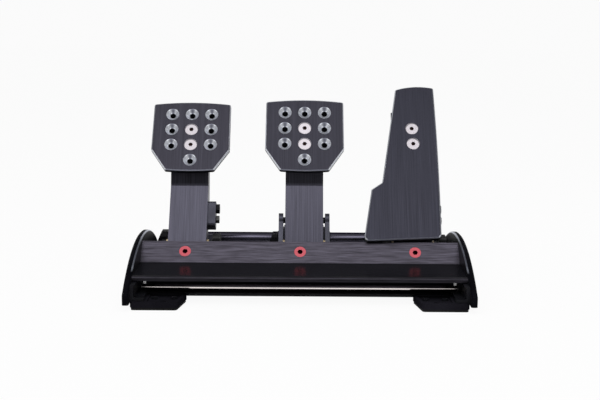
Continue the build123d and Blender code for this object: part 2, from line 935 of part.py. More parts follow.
def plate_outline():
    """Front view of the throttle plate: narrow above, stepped out to the left below."""
    top_left = (plate_top_left, plate_left_top_up)
    top_right = (plate_top_right, plate_right_top_up)
    crown = ((plate_top_left + plate_top_right) / 2, plate_crown_up)
    foot_right = (plate_bottom_right, -plate_right_bottom_down)
    foot_left = (plate_bottom_left, -plate_left_bottom_down)
    step = (plate_step_left, -plate_step_down)
    waist = (plate_waist_left, -plate_waist_down)
    edges = [
        ThreePointArc(top_left, crown, top_right),
        ThreePointArc(top_right, (plate_bow_right, -plate_bow_down), foot_right),
        Line(foot_right, foot_left),
        Line(foot_left, step),
        Line(step, waist),
        Line(waist, top_left),
    ]
    face = make_face(edges)
    face = rounded(face, [top_left, top_right, step, waist], plate_corner_radius)
    return rounded(face, [foot_left, foot_right], plate_foot_radius)


def countersink(place, depth):
    """What one countersunk hole of a given depth takes out of a pad."""
    profile = Polyline(
        (0, cut_overrun),
        (pad_sink_radius, cut_overrun),
        (pad_sink_radius, 0),
        (pad_hole_radius, -pad_sink_depth),
        (pad_hole_radius, -depth),
        (0, -depth),
        close=True,
    )
    cutter = revolve(Plane.XZ * make_face(profile), Axis.Z)
    return Pos(*place) * cutter


def make_pad(face, screws, free_holes):
    """A pad or plate in its place: front edges bevelled, screw holes through, free holes blind."""
    pad = extrude(face, -pad_thickness)
    front = pad.faces().sort_by(Axis.Z)[-1]
    pad = chamfer(front.edges(), pad_edge_chamfer)
    for place in screws:
        pad = pad - countersink(place, pad_thickness + cut_overrun)
    for place in free_holes:
        pad = pad - countersink(place, pad_thickness - pad_hole_floor)
    return pad_frame() * pad


def make_arm_screws(unit):
    """Two countersunk screws with nuts behind the arm, and the side block's bolt where there is one."""
    screws = []
    for across, up in pad_screw_places(unit):
        screw = countersunk(
            pad_sink_radius - pad_screw_head_gap, m6_radius, pad_sink_depth, pad_screw_length
        )
        depth = pad_sink_depth * hex_socket_depth_share
        screw = screw - extrude(RegularPolygon(m6_radius, 6), -depth)
        nut = extrude(RegularPolygon(pad_nut_radius, 6), -pad_nut_thickness)
        nut = Pos(0, 0, -pad_thickness - arm_wall) * nut
        screws.append(pad_frame() * (Pos(across, up, 0) * (screw + nut)))
    if not unit.ears:
        place = side_bolt_place()
        outer = arm_half + side_block_thickness
        shank = bar_x(place, side_bolt_radius, arm_half, outer)
        screws.append(shank + hex_head(place, side_bolt_head_radius, outer))
    return group(screws)


def side_bolt_place():
    """The side block's lower bolt."""
    return leaning(pivot, arm_lean, rod_pin_up - side_bolt_below_pin, rod_pin_back)


def hex_head(place, radius, low_x):
    """A six-sided bolt head along X."""
    face = Pos(place[0], place[1]) * RegularPolygon(radius, 6)
    return slab(face, low_x, low_x + rod_pin_hex_height)


def make_rod_pin(unit):
    """The pin through the arm that the rod's eye turns on."""
    reach = arm_half - rod_pin_recess
    if unit.ears:
        return bar_x(rod_pin, rod_pin_radius, -reach, reach)
    outer = arm_half + side_block_thickness
    pin = bar_x(rod_pin, rod_pin_radius, -reach, outer)
    return pin + hex_head(rod_pin, rod_pin_hex_radius, outer)


def make_side_block():
    """The block on the arm's right side, held by the rod pin and one bolt."""
    corners = [
        leaning(pivot, arm_lean, side_block_low, -side_block_front),
        leaning(pivot, arm_lean, side_block_high, -side_block_front),
        leaning(pivot, arm_lean, side_block_high, side_block_back),
        leaning(pivot, arm_lean, side_block_low, side_block_back),
    ]
    face = fillet(outline(corners).vertices(), side_block_fillet)
    face = face - disc(rod_pin, rod_pin_radius) - disc(side_bolt_place(), side_bolt_radius)
    return slab(face, arm_half, arm_half + side_block_thickness)


def make_rod(unit):
    """The push rod: a round rod with a cross barrel that turns on the pin."""
    half = arm_half - arm_wall - rod_eye_side_gap
    pin = pin_place(unit)
    tail = unit.span + trunnion_flat + bumper_thickness + bumper_gap + tail_nut_thickness + rod_tail
    shaft = Cylinder(rod_radius, tail, align=(Align.CENTER, Align.CENTER, Align.MIN))
    rod = bar_x(pin, rod_eye_radius, -half, half) + rod_frame(unit, 0) * shaft
    return rod - bar_x(pin, rod_pin_radius + running_clearance, -half, half)


def make_rod_nuts(unit):
    """The notched preload collar and the tail nut on a rod."""
    collar = Circle(collar_radius) - Circle(rod_radius)
    for place in PolarLocations(collar_radius, collar_notches):
        collar = collar - place * Circle(collar_notch_radius)
    collar = rod_frame(unit, collar_from_pin) * extrude(collar, collar_thickness)
    face = RegularPolygon(tail_nut_flats / 2, 6, major_radius=False) - Circle(rod_radius)
    start = unit.span + trunnion_flat + bumper_thickness + bumper_gap
    nut = rod_frame(unit, start) * extrude(face, tail_nut_thickness)
    return group([collar, nut])


def rod_hole(unit):
    """The loose hole that a rod slides through."""
    radius = rod_radius + rod_hole_clearance
    return hole_frame(unit, unit.span) * Cylinder(radius, trunnion_radius * 4)


def make_trunnion(unit):
    """The cross block that carries a spring's lower end, flat where the spring and stop sit."""
    centre = rod_place(unit, unit.span)
    half = cheek_inner - trunnion_side_gap
    block = bar_x(centre, trunnion_radius, -half, half)
    keep = Box(half * 2, trunnion_radius * 3, trunnion_flat * 2)
    block = block & (rod_frame(unit, unit.span) * keep)
    block = block - rod_hole(unit)
    return block - cross_holes(centre, m6_radius, half)


def cross_holes(centre, radius, half):
    """Threaded holes in both ends of a cross block."""
    right = bar_x(centre, radius, cheek_inner - cheek_screw_thread, half)
    return right + mirror(right, Plane.YZ)


def make_load_cell(unit):
    """The brake's load cell: a bar between the cheeks, necked by a slot on each side of the rod."""
    centre = rod_place(unit, unit.span)
    half = cheek_inner - trunnion_side_gap
    cell = rod_frame(unit, unit.span) * Box(half * 2, load_cell_height, trunnion_flat * 2)
    for side in (-1, 1):
        slot = SlotCenterToCenter(load_cell_slot_length, load_cell_slot_radius * 2)
        slot = extrude(Plane.XZ * slot, load_cell_height, both=True)
        slot = Pos(side * load_cell_slot_from_centre, 0, 0) * slot
        cell = cell - rod_frame(unit, unit.span) * slot
    cell = cell - rod_hole(unit)
    return cell - cross_holes(centre, m6_radius, half)


def spring_points(pitch, wire_radius):
    """Points and headings on the coil, with a closer half turn and a ramp at each end."""
    close_pitch = wire_radius * 2 + spring_end_gap
    count = int(round(spring_turns * spring_points_per_turn))
    places = []
    height = wire_radius
    last_rise = close_pitch
    for index in range(count + 1):
        angle = index * 2 * pi / spring_points_per_turn
        from_end = min(index, count - index) / spring_points_per_turn
        share = min(max(from_end / spring_ramp_start - 1, 0), 1)
        rise = close_pitch + (pitch - close_pitch) * share
        if index:
            height = height + (rise + last_rise) / 2 / spring_points_per_turn
        last_rise = rise
        point = Vector(spring_mean_radius * cos(angle), spring_mean_radius * sin(angle), height)
        heading = Vector(
            -spring_mean_radius * sin(angle), spring_mean_radius * cos(angle), rise / (2 * pi)
        )
        places.append((point, heading.normalized()))
    return places


def spring_height(pitch, wire_radius):
    """Height of the coil's centre line from end to end."""
    places = spring_points(pitch, wire_radius)
    return places[-1][0].Z - places[0][0].Z


def make_spring(unit, wire_radius):
    """A helical spring from the collar to the cross block, as one unbroken wire on paired arcs."""
    start = collar_from_pin + collar_thickness + spring_seat_gap
    room = unit.span - trunnion_flat - spring_seat_gap - start - wire_radius * 2
    close_pitch = wire_radius * 2 + spring_end_gap
    shortest = spring_height(close_pitch, wire_radius)
    growth = spring_height(close_pitch * 2, wire_radius) - shortest
    pitch = close_pitch * (1 + (room - shortest) / growth)
    places = spring_points(pitch, wire_radius)
    first, heading = places[0]
    edges = [Line(first - heading * wire_radius * 2, first)]
    for (point, way), (following, next_way) in zip(places, places[1:]):
        joint, joint_way = paired_arc(point, way, following, next_way)
        edges.append(Edge.make_tangent_arc(point, way, joint))
        edges.append(Edge.make_tangent_arc(joint, joint_way, following))
    last, heading = places[-1]
    edges.append(Line(last, last + heading * wire_radius * 2))
    path = Wire(edges)
    section = Plane(origin=path @ 0, z_dir=path % 0) * Circle(wire_radius)
    spring = sweep(section, path=path)
    samples = [path @ (index / spring_samples) for index in range(spring_samples + 1)]
    turn = int(round(spring_samples / spring_turns))
    nearest = min(
        (a - b).length
        for i, a in enumerate(samples)
        for b in samples[i + turn // 2 :]
    )
    volume = pi * wire_radius**2 * path.length
    print(
        unit.name,
        "spring: gap between turns",
        round(nearest - wire_radius * 2, 2),
        "volume against its wire",
        round(spring.volume / volume, 4),
    )
    return rod_frame(unit, start) * spring


def paired_arc(point, way, following, next_way):
    """Where two arcs, tangent to both headings, meet between two points."""
    step = following - point
    both = way + next_way
    along = step.dot(both)
    bend = 1 - way.dot(next_way)
    reach = (sqrt(along**2 + 2 * bend * step.dot(step)) - along) / (2 * bend)
    joint = (point + following + (way - next_way) * reach) * 0.5
    joint_way = (following - next_way * reach) - (point + way * reach)
    return joint, joint_way.normalized()


def stack_length():
    """Room for the brake's rings and washers, from the collar to the load cell."""
    start = collar_from_pin + collar_thickness + spring_seat_gap
    return brake_rod_span - trunnion_flat - spring_seat_gap - start


def ring_height():
    """Height of one elastomer ring."""
    return (stack_length() - stack_washer_thickness * (elastomer_count - 1)) / elastomer_count


def make_elastomers():
    """Grooved rubber rings around the brake's rod."""
    rings = []
    height = ring_height()
    start = collar_from_pin + collar_thickness + spring_seat_gap
    for index in range(elastomer_count):
        profile = [
            Line((elastomer_bore_radius, 0), (elastomer_radius, 0)),
            ThreePointArc(
                (elastomer_radius, 0),
                (elastomer_radius - elastomer_groove, height / 2),
                (elastomer_radius, height),
            ),
            Line((elastomer_radius, height), (elastomer_bore_radius, height)),
            Line((elastomer_bore_radius, height), (elastomer_bore_radius, 0)),
        ]
        ring = revolve(Plane.XZ * make_face(profile), Axis.Z)
        place = start + index * (height + stack_washer_thickness)
        rings.append(rod_frame(brake, place) * ring)
    return group(rings)


def make_stack_washers():
    """Steel washers between the rings."""
    washers = []
    height = ring_height()
    start = collar_from_pin + collar_thickness + spring_seat_gap
    for index in range(1, elastomer_count):
        face = Circle(stack_washer_radius) - Circle(elastomer_bore_radius)
        place = start + index * height + (index - 1) * stack_washer_thickness
        washers.append(rod_frame(brake, place) * extrude(face, stack_washer_thickness))
    return group(washers)


def stop_place(unit):
    """Where the travel stop stands, just behind the arm's flanges at full travel."""
    back = arm_flange_behind_pivot + stop_rubber_radius + stop_gap
    return leaning(pivot, arm_lean - unit.forward + unit.travel, stop_up, back)


def limit_place():
    """The brake's travel pin, in the raised ears."""
    return (pivot[0] + brake_ear_y_from_pivot, pivot[1] + brake_ear_z_from_pivot)


def limit_slot():
    """The arc slot in the brake arm's flanges that the travel pin runs in."""
    y, z = brake_ear_y_from_pivot, brake_ear_z_from_pivot
    radius = hypot(y, z)
    start = degrees(atan2(z, y))
    margin = degrees((stop_gap + running_clearance) / radius)
    arc = CenterArc(pivot, radius, start - margin, brake_travel + margin * 2)
    return SlotArc(arc, (rod_pin_radius + stop_gap) * 2)


def cheek_face(unit):
    """Side view of a cheek, from the beam to the rear bar."""
    rod_end_place = rod_place(unit, unit.span)
    back = beam_thickness + beam_to_cheek_gap
    rear = bar[0] + cheek_rear_behind_bar
    seat = bar[1] - cheek_seat_drop
    lip = bar[0] - (rear - bar[0]) - cheek_corner_radius
    nose = leaning(bolt, beam_face_lean, -block_below_bolt - beam_to_cheek_gap, back)
    chin = (nose[0] + cheek_corner_radius * 2, cheek_bottom_z)
    points = [
        leaning(bolt, beam_face_lean, block_above_bolt, back),
        nose,
        chin,
        (rear, cheek_bottom_z),
        (rear, seat),
        (lip, seat),
        (rod_end_place[0] + cheek_rod_radius, rod_end_place[1]),
        (rod_end_place[0], rod_end_place[1] + cheek_rod_radius),
        (pivot[0] + cheek_waist_length, cheek_waist_z),
        (pivot[0], cheek_waist_z),
    ]
    face = rounded(outline(points), [chin, (rear, cheek_bottom_z)], cheek_corner_radius)
    face = face + disc(rod_end_place, cheek_rod_radius) + disc(pivot, cheek_pivot_radius)
    if unit.ears:
        ear = limit_place()
        face = face + outline(
            [
                (pivot[0] - cheek_pivot_radius, pivot[1]),
                leaning(ear, 0, 0, -brake_ear_radius),
                leaning(ear, 0, 0, brake_ear_radius),
                (pivot[0] + cheek_waist_length + brake_ear_waist / 2, cheek_waist_z),
            ]
        )
        face = face + disc(ear, brake_ear_radius) - disc(ear, rod_pin_radius)
    face = face - disc(bar, rear_bar_radius + seat_clearance)
    face = face - disc(pivot, axle_radius + seat_clearance)
    window = SlotOverall(cheek_window_length, cheek_window_height)
    face = face - Pos(pivot[0] + cheek_window_from_pivot, cheek_window_z) * window
    rear_window = SlotOverall(rear_window_length, cheek_window_height)
    middle = (rod_end_place[0] + lip) / 2
    face = face - Pos(middle, rear_window_z) * rear_window
    for place, radius in cheek_screw_places(unit):
        face = face - disc(place, radius + screw_hole_clearance)
    return face


def cheek_screw_places(unit):
    """Side-view places and radii of the screws through a pair of cheeks."""
    depth = beam_thickness + block_depth / 2
    places = [
        (leaning(bolt, beam_face_lean, block_screw_up, depth), m5_radius),
        (leaning(bolt, beam_face_lean, -block_screw_down, depth), m5_radius),
        (rod_place(unit, unit.span), m6_radius),
    ]
    if not unit.ears:
        places.append((stop_place(unit), stop_bolt_radius))
    return places


def clamp_bolt_place():
    """The bolt that holds a bar clamp to its cheek."""
    return (bar[0] - clamp_bolt_y, bar[1] - clamp_bolt_z)


def make_cheek(unit, side):
    """One of a unit's two cheek plates; side is 1 for the right one and -1 for the left one."""
    face = cheek_face(unit)
    if side < 0:
        face = face - disc(clamp_bolt_place(), m4_radius)
    low = cheek_inner if side > 0 else -cheek_outer
    return slab(face, low, low + cheek_thickness)


def make_cheek_screws():
    """Every screw through the cheeks, with the travel stops' bolts and the brake's travel pin."""
    screws = []
    sizes = {m5_radius: (m5_head_radius, m5_head_height), m6_radius: (m6_head_radius, m6_head_height)}
    for unit in units:
        x = unit.x
        for place, radius in cheek_screw_places(unit)[:3]:
            head_radius, head_height = sizes[radius]
            grip = cheek_thickness + cheek_screw_thread
            for side in (-1, 1):
                screw = button_screw(
                    place, radius, head_radius, head_height, side * cheek_outer, grip, side
                )
                screws.append(Pos(x, 0, 0) * screw)
        if unit.ears:
            pin = bar_x(limit_place(), rod_pin_radius, -cheek_outer, cheek_outer)
            screws.append(Pos(x, 0, 0) * pin)
        else:
            place = stop_place(unit)
            right = button_screw(
                place, stop_bolt_radius, m6_head_radius, m6_head_height, cheek_outer, cheek_outer, 1
            )
            left = button_screw(
                place, stop_bolt_radius, m6_head_radius, m6_head_height, -cheek_outer, cheek_outer, -1
            )
            screws.append(Pos(x, 0, 0) * (right + left))
        screw = button_screw(
            clamp_bolt_place(),
            m4_radius,
            m4_head_radius,
            m4_head_height,
            -cheek_inner,
            cheek_thickness + cheek_screw_thread,
            1,
        )
        screws.append(Pos(x, 0, 0) * screw)
    return group(screws)


def make_front_blocks():
    """The blocks behind the beam that take the red bolts and tie each pair of cheeks."""
    blocks = []
    for unit, bolt_x in zip(units, beam_bolt_xs):
        x = unit.x
        back = beam_thickness + block_depth
        face = outline(
            [
                leaning(bolt, beam_face_lean, block_above_bolt, beam_thickness),
                leaning(bolt, beam_face_lean, block_above_bolt, back),
                leaning(bolt, beam_face_lean, -block_below_bolt, back),
                leaning(bolt, beam_face_lean, -block_below_bolt, beam_thickness),
            ]
        )
        block = slab(face, x - cheek_inner, x + cheek_inner)
        block = block - beam_bolt_space(bolt_x)
        for place, radius in cheek_screw_places(unit)[:2]:
            for side in (-1, 1):
                low = min(side * cheek_inner, side * (cheek_inner - cheek_screw_thread))
                block = block - bar_x(place, radius, x + low, x + low + cheek_screw_thread)
        blocks.append(block)
    return group(blocks)


def make_axles():
    """Three pivot axles with a groove near each end."""
    axles = []
    reach = cheek_outer + axle_overhang
    for unit in units:
        axle = bar_x(pivot, axle_radius, unit.x - reach, unit.x + reach)
        for side in (-1, 1):
            axle = axle - circlip_groove(unit.x, side)
        axles.append(axle)
    return group(axles)


def circlip_low(x, side):
    """The lower X of a circlip."""
    start = cheek_outer + circlip_from_cheek
    return x + start if side > 0 else x - start - circlip_thickness


def circlip_groove(x, side):
    """The ring-shaped space of a circlip in its axle."""
    low = circlip_low(x, side)
    ring = disc(pivot, axle_radius + cut_overrun) - disc(pivot, axle_radius - circlip_depth)
    return slab(ring, low, low + circlip_thickness)


def make_circlips():
    """Six open rings that keep the axles in their cheeks."""
    rings = []
    for unit in units:
        for side in (-1, 1):
            low = circlip_low(unit.x, side)
            ring = disc(pivot, circlip_radius) - disc(pivot, axle_radius - circlip_depth)
            gap = Pos(pivot[0], pivot[1] - circlip_radius) * Rectangle(circlip_gap, circlip_radius)
            rings.append(slab(ring - gap, low, low + circlip_thickness))
    return group(rings)


def make_bushes():
    """Six flanged brass bushes: the flange spaces arm and cheek, the spigot carries the arm."""
    bushes = []
    for unit in units:
        flange = disc(pivot, bush_flange_radius) - disc(pivot, axle_radius)
        spigot = disc(pivot, bush_spigot_radius) - disc(pivot, axle_radius)
        bush = slab(flange, arm_half + arm_side_gap, cheek_inner)
        bush = bush + slab(spigot, arm_half - arm_wall, arm_half + arm_side_gap)
        for item in mirrored_pair(bush):
            bushes.append(Pos(unit.x, 0, 0) * item)
    return group(bushes)


def make_stop_rubbers():
    """Rubber sleeves on the stop bolts and rebound washers under the cross blocks."""
    rubbers = []
    half = cheek_inner - trunnion_side_gap
    for unit in units:
        face = Circle(bumper_radius) - Circle(rod_radius + rod_hole_clearance)
        washer = hole_frame(unit, unit.span + trunnion_flat) * extrude(face, bumper_thickness)
        rubbers.append(Pos(unit.x, 0, 0) * washer)
        if not unit.ears:
            place = stop_place(unit)
            sleeve = disc(place, stop_rubber_radius) - disc(place, stop_bolt_radius)
            rubbers.append(slab(sleeve, unit.x - half, unit.x + half))
    return group(rubbers)


def make_bar_clamps():
    """Saddles on the left of each unit that grip the rear bar."""
    clamps = []
    top = bar[1] + rear_bar_radius - clamp_top_drop
    low_y = bar[0] - clamp_half_length
    high_y = bar[0] + clamp_half_length
    corners = [(low_y, cheek_bottom_z), (high_y, cheek_bottom_z), (high_y, top), (low_y, top)]
    face = outline(corners)
    face = chamfer([v for v in face.vertices() if v.Y > bar[1]], clamp_chamfer)
    face = face - disc(bar, rear_bar_radius + seat_clearance)
    for unit in units:
        inner = unit.x - cheek_outer
        outer = inner - (clutch_clamp_width if unit is clutch else clamp_width)
        clamp = slab(face, outer, inner)
        clamp = clamp - bar_x(clamp_bolt_place(), m4_radius, inner - cheek_screw_thread, inner)
        wedge = Polyline(
            (outer, top), (outer + clamp_chamfer, top), (outer, top - clamp_chamfer * 2), close=True
        )
        wedge = extrude(Plane.XZ * make_face(wedge), clamp_half_length * 2, both=True)
        clamps.append(clamp - Pos(0, bar[0], 0) * wedge)
    return group(clamps)


def make_sensor():
    """The angle sensor outside the right cheek, over the axle's end, with its plug socket on top."""
    low = cheek_outer
    centre = (pivot[0], pivot[1] + (sensor_above_pivot - sensor_below_pivot) / 2)
    face = Pos(centre[0], centre[1]) * RectangleRounded(
        sensor_width, sensor_above_pivot + sensor_below_pivot, sensor_fillet
    )
    body = slab(face, low, low + sensor_thickness)
    well = bar_x(pivot, sensor_well_radius, low, low + sensor_well_depth)
    plug = Pos(pivot[0] + sensor_width / 2, pivot[1] + sensor_above_pivot / 2) * Rectangle(
        sensor_plug_reach * 2, sensor_plug_height
    )
    plug = slab(plug, low, low + sensor_plug_width)
    return body + plug - well


# Electronics


def housing_low_y():
    """Front of the housing: its rear wall, with the sockets, is the rearmost face of the set."""
    return rear_y - socket_overhang - housing_length


def housing_plan(inset):
    """Plan view of the housing."""
    face = RectangleRounded(housing_width, housing_length, housing_corner_radius)
    if inset:
        face = RectangleRounded(
            housing_width - inset * 2, housing_length - inset * 2, housing_corner_radius - inset
        )
    return Pos(housing_centre_x, housing_low_y() + housing_length / 2) * face


def socket_rows():
    """Centre X, width and height of the sockets."""
    return [
        (housing_centre_x - socket_spacing / 2, data_socket_width, data_socket_height),
        (housing_centre_x + socket_spacing / 2, usb_socket_width, usb_socket_height),
    ]


def socket_centre_z(height):
    """Height of a socket's middle: it stands on the board."""
    return housing_bottom_z + housing_wall + board_thickness + height / 2


def make_housing():
    """The tray of the electronics housing, with openings for the sockets in its rear wall."""
    tray = extrude(housing_plan(0), housing_height)
    hollow = extrude(housing_plan(housing_wall), housing_height)
    tray = Pos(0, 0, housing_bottom_z) * (tray - Pos(0, 0, housing_wall) * hollow)
    rear = housing_low_y() + housing_length
    for x, width, height in socket_rows():
        z = socket_centre_z(height)
        tray = tray - Pos(x, rear, z) * Box(width, housing_wall * 3, height)
    for x in housing_screw_xs():
        post = Cylinder(housing_screw_radius * 2, housing_height - housing_wall)
        place = Pos(x, bar[0], housing_bottom_z + (housing_height + housing_wall) / 2)
        tray = tray + place * post
        tray = tray - housing_screw_shank(x)
    return tray


def housing_screw_xs():
    """Where the two screws run up through the housing into the rear bar."""
    return (housing_centre_x - housing_screw_offset, housing_centre_x + housing_screw_offset)


def housing_screw_shank(x):
    """The straight part of a housing screw."""
    length = bar[1] - rear_bar_radius + housing_screw_grip - housing_bottom_z
    shank = Cylinder(housing_screw_radius, length, align=(Align.CENTER, Align.CENTER, Align.MIN))
    return Pos(x, bar[0], housing_bottom_z) * shank


def make_cover():
    """The housing's lid, with a saddle that seats against the underside of the rear bar."""
    low_z = housing_bottom_z + housing_height
    cover = Pos(0, 0, low_z) * extrude(housing_plan(0), cover_thickness)
    lip = extrude(housing_plan(housing_wall + seat_clearance), -cover_thickness)
    lip = lip - extrude(housing_plan(housing_wall + cover_lip_thickness), -cover_thickness)
    cover = cover + Pos(0, 0, low_z) * lip
    saddle = Box(
        saddle_width, saddle_length, bar[1] - low_z, align=(Align.CENTER, Align.CENTER, Align.MIN)
    )
    for x in housing_screw_xs():
        cover = cover + Pos(x, bar[0], low_z) * saddle
    cover = cover - bar_x(bar, rear_bar_radius + seat_clearance, -inner_x, inner_x)
    for x in housing_screw_xs():
        cover = cover - housing_screw_shank(x)
    rear = housing_low_y() + housing_length
    for x, width, height in socket_rows():
        z = socket_centre_z(height)
        cover = cover - Pos(x, rear, z) * Box(
            width + seat_clearance * 2, socket_length * 3, height + seat_clearance * 2
        )
    return cover


def make_housing_screws():
    """The two screws that hang the housing on the rear bar."""
    screws = []
    for x in housing_screw_xs():
        head = Cylinder(
            m4_head_radius, m4_head_height, align=(Align.CENTER, Align.CENTER, Align.MAX)
        )
        screws.append(housing_screw_shank(x) + Pos(x, bar[0], housing_bottom_z) * head)
    return screws


def make_board():
    """The circuit board on the housing's floor."""
    board = extrude(housing_plan(housing_wall + board_gap), board_thickness)
    for x in housing_screw_xs():
        hole = Cylinder(housing_screw_radius * 2 + board_gap, set_depth)
        board = board - Pos(x, bar[0], 0) * hole
    return Pos(0, 0, housing_bottom_z + housing_wall) * board


def make_sockets():
    """The two sockets in the housing's rear wall, each an open box."""
    sockets = []
    rear = housing_low_y() + housing_length + socket_overhang
    for x, width, height in socket_rows():
        z = socket_centre_z(height)
        shell = Box(
            width, socket_length, height, align=(Align.CENTER, Align.MAX, Align.CENTER)
        )
        mouth = Box(
            width - socket_wall * 2,
            socket_length - socket_wall,
            height - socket_wall * 2,
            align=(Align.CENTER, Align.MAX, Align.CENTER),
        )
        sockets.append(Pos(x, rear, z) * (shell - mouth))
    return group(sockets)


# The whole set


def make_parts():
    """Every node by name."""
    side_plate = make_side_plate()
    bar_block = make_bar_block()
    front_row, rear_row = foot_rows()
    parts = {
        "front_beam": make_front_beam(),
        "tie_rod": make_tie_rod(),
        "lower_rail": make_lower_rail(),
        "rear_bar": make_rear_bar(),
        "rear_bar_block_right": bar_block,
        "rear_bar_block_left": mirror(bar_block, Plane.YZ),
        "side_plate_right": side_plate,
        "side_plate_left": mirror(side_plate, Plane.YZ),
        "beam_brackets": make_beam_brackets(),
        "front_feet": make_foot_pair(*front_row),
        "rear_feet": make_foot_pair(*rear_row),
        "rubber_feet": make_rubber_feet(),
        "frame_screws": make_frame_screws(),
        "beam_bolts": make_beam_bolts(),
        "front_blocks": make_front_blocks(),
        "pivot_axles": make_axles(),
        "axle_circlips": make_circlips(),
        "pivot_bushes": make_bushes(),
        "stop_rubbers": make_stop_rubbers(),
        "cheek_screws": make_cheek_screws(),
        "bar_clamps": make_bar_clamps(),
        "electronics_housing": make_housing(),
        "housing_cover": make_cover(),
        "circuit_board": make_board(),
        "sockets": make_sockets(),
    }
    for unit in units:
        name = unit.name
        place = Pos(unit.x, 0, 0)
        arm = swing(unit) * make_arm(unit)
        if unit.ears:
            arm = arm - place * slab(limit_slot(), -arm_half, arm_half)
        parts[name + "_arm"] = arm
        if unit is throttle:
            plate = make_pad(plate_outline(), pad_screw_places(unit), [])
            parts["throttle_plate"] = swing(unit) * plate
        else:
            pad = make_pad(pad_outline(), pad_screw_places(unit), free_hole_places())
            parts[name + "_pad"] = swing(unit) * pad
        parts[name + "_arm_screws"] = swing(unit) * make_arm_screws(unit)
        parts[name + "_rod_pin"] = swing(unit) * make_rod_pin(unit)
        parts[name + "_rod"] = place * make_rod(unit)
        parts[name + "_rod_nuts"] = place * make_rod_nuts(unit)
        parts[name + "_cheek_left"] = place * make_cheek(unit, -1)
        parts[name + "_cheek_right"] = place * make_cheek(unit, 1)
        if unit.ears:
            parts["brake_load_cell"] = place * make_load_cell(unit)
            parts["brake_elastomers"] = place * make_elastomers()
            parts["brake_stack_washers"] = place * make_stack_washers()
        else:
            wire = clutch_wire_radius if unit is clutch else throttle_wire_radius
            parts[name + "_side_block"] = swing(unit) * make_side_block()
            parts[name + "_sensor"] = place * make_sensor()
            parts[name + "_trunnion"] = place * make_trunnion(unit)
            parts[name + "_spring"] = place * make_spring(unit, wire)
    return parts


os.makedirs("parts", exist_ok=True)
for node, shape in make_parts().items():
    export_step(shape, "parts/" + node + ".step")
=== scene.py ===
import json
from math import atan2, cos, pi, radians, sin, tau

import bmesh
import bpy
from mathutils import Matrix, Vector


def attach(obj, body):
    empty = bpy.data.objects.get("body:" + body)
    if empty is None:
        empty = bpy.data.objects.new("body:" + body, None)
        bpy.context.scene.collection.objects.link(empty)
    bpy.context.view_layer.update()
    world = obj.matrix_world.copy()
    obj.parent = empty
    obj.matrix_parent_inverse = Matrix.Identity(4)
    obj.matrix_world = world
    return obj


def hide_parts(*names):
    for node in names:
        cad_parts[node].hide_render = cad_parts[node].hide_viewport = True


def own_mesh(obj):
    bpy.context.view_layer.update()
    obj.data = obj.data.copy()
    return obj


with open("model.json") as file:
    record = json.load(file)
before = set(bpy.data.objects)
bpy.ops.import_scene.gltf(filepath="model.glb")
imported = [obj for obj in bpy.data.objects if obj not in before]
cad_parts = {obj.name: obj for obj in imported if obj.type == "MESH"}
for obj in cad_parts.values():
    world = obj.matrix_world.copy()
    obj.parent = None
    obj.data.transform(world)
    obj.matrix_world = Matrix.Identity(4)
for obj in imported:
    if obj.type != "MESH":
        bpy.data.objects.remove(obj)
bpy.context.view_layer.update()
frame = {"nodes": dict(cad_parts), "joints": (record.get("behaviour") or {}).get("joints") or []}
nodes = frame["nodes"]

# Sizes in metres, angles in degrees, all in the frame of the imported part.

ACROSS = (1.0, 0.0, 0.0)
FORWARD = (0.0, -1.0, 0.0)
BACK = (0.0, 1.0, 0.0)
UP = (0.0, 0.0, 1.0)


def leaning(angle):
    """The way forward and up that a surface faces which leans back by an angle."""
    return (0.0, -cos(radians(angle)), sin(radians(angle)))


# The photograph's view.
CAMERA_PLACE = (0.0, -1.4148, 0.344)
CAMERA_PITCH = 9.489
CAMERA_ROLL = 0.37
CAMERA_LENS = 66.6
CAMERA_SENSOR = 36.0
CAMERA_SHIFT_X = -0.0007
CAMERA_REACH = 60.0

# Where the CAD's surfaces lie and face, by which the materials tell them apart.
PAD_WAY = leaning(36.0)
BRAKE_PAD_WAY = leaning(32.5)
BEAM_WAY = leaning(40.0)
NECK_WAY = leaning(10.0)
LIP_FORWARD = (0.124, 0.125)
CHAMFER_UP = (0.040, 0.046)
PLATE_MIDDLE_X = 0.2037
PEDAL_X = {"clutch": -0.145, "brake": 0.005, "throttle": 0.145}
PEDAL_WAY = {"clutch": PAD_WAY, "brake": BRAKE_PAD_WAY, "throttle": PAD_WAY}
ARM_HALF = 0.0245
NECK_FADE = 0.0035

# Depths below the foremost point of a pad or screw; a pair of limits counts forward.
HOLE_DEPTH = 0.0049
CONE_SHADE_DEPTH = 0.0045
CORNER_BARE_DEPTH = 0.0033
PLATE_BARE_DEPTH = 0.0031
HEAD_TOP_DEPTH = 0.0001
MARK_DEPTHS = (-0.0036, -0.0009)
SOCKET_DEPTHS = (-0.0034, -0.0005)
EDGE_BLUR = 0.0001

# The painted shade in fine stripes at the top of each cone, and the crescent of shade on each
# screw head.
MARK_PITCH = 0.00155
MARK_BLUR = 0.0002
HEAD_GAP = 0.003
HEAD_SHADE_SHIFT = 0.001
HEAD_SHADE_EDGE = (-0.0006, -0.0002)

# How squarely each kind of surface faces a way, as a cosine.
FACING_BLUR = 0.03
FACE = (0.93, 1.2)
BEVEL_OR_CONE = (0.4, 0.93)
WALL = (-0.2, 0.4)
CORNER_WALL = (0.3, 0.8)
SHADED_BEVEL = (0.58, 0.68)
CONE_TOP = (0.34, 0.52)
NECK_FRONT = (0.8, 0.9)
NECK_SQUARE_ON = 0.99
SHELF_TOP = (0.9, 0.98)
HEAD_FRONT = (0.9, 0.95)
AWAY_FROM_HEAD = (-0.9, -0.8)
PLATE_SIDE = (0.9, 0.99)
PLATE_CHAMFER = (0.5, 0.9)

# The two values between which noise, or the wave of the cones' painted shade, is read.
WIDE = (0.3, 0.7)
NARROW = (0.35, 0.65)
STREAKS = (0.28, 0.72)
MARK_WAVE = (-0.8, 0.6)

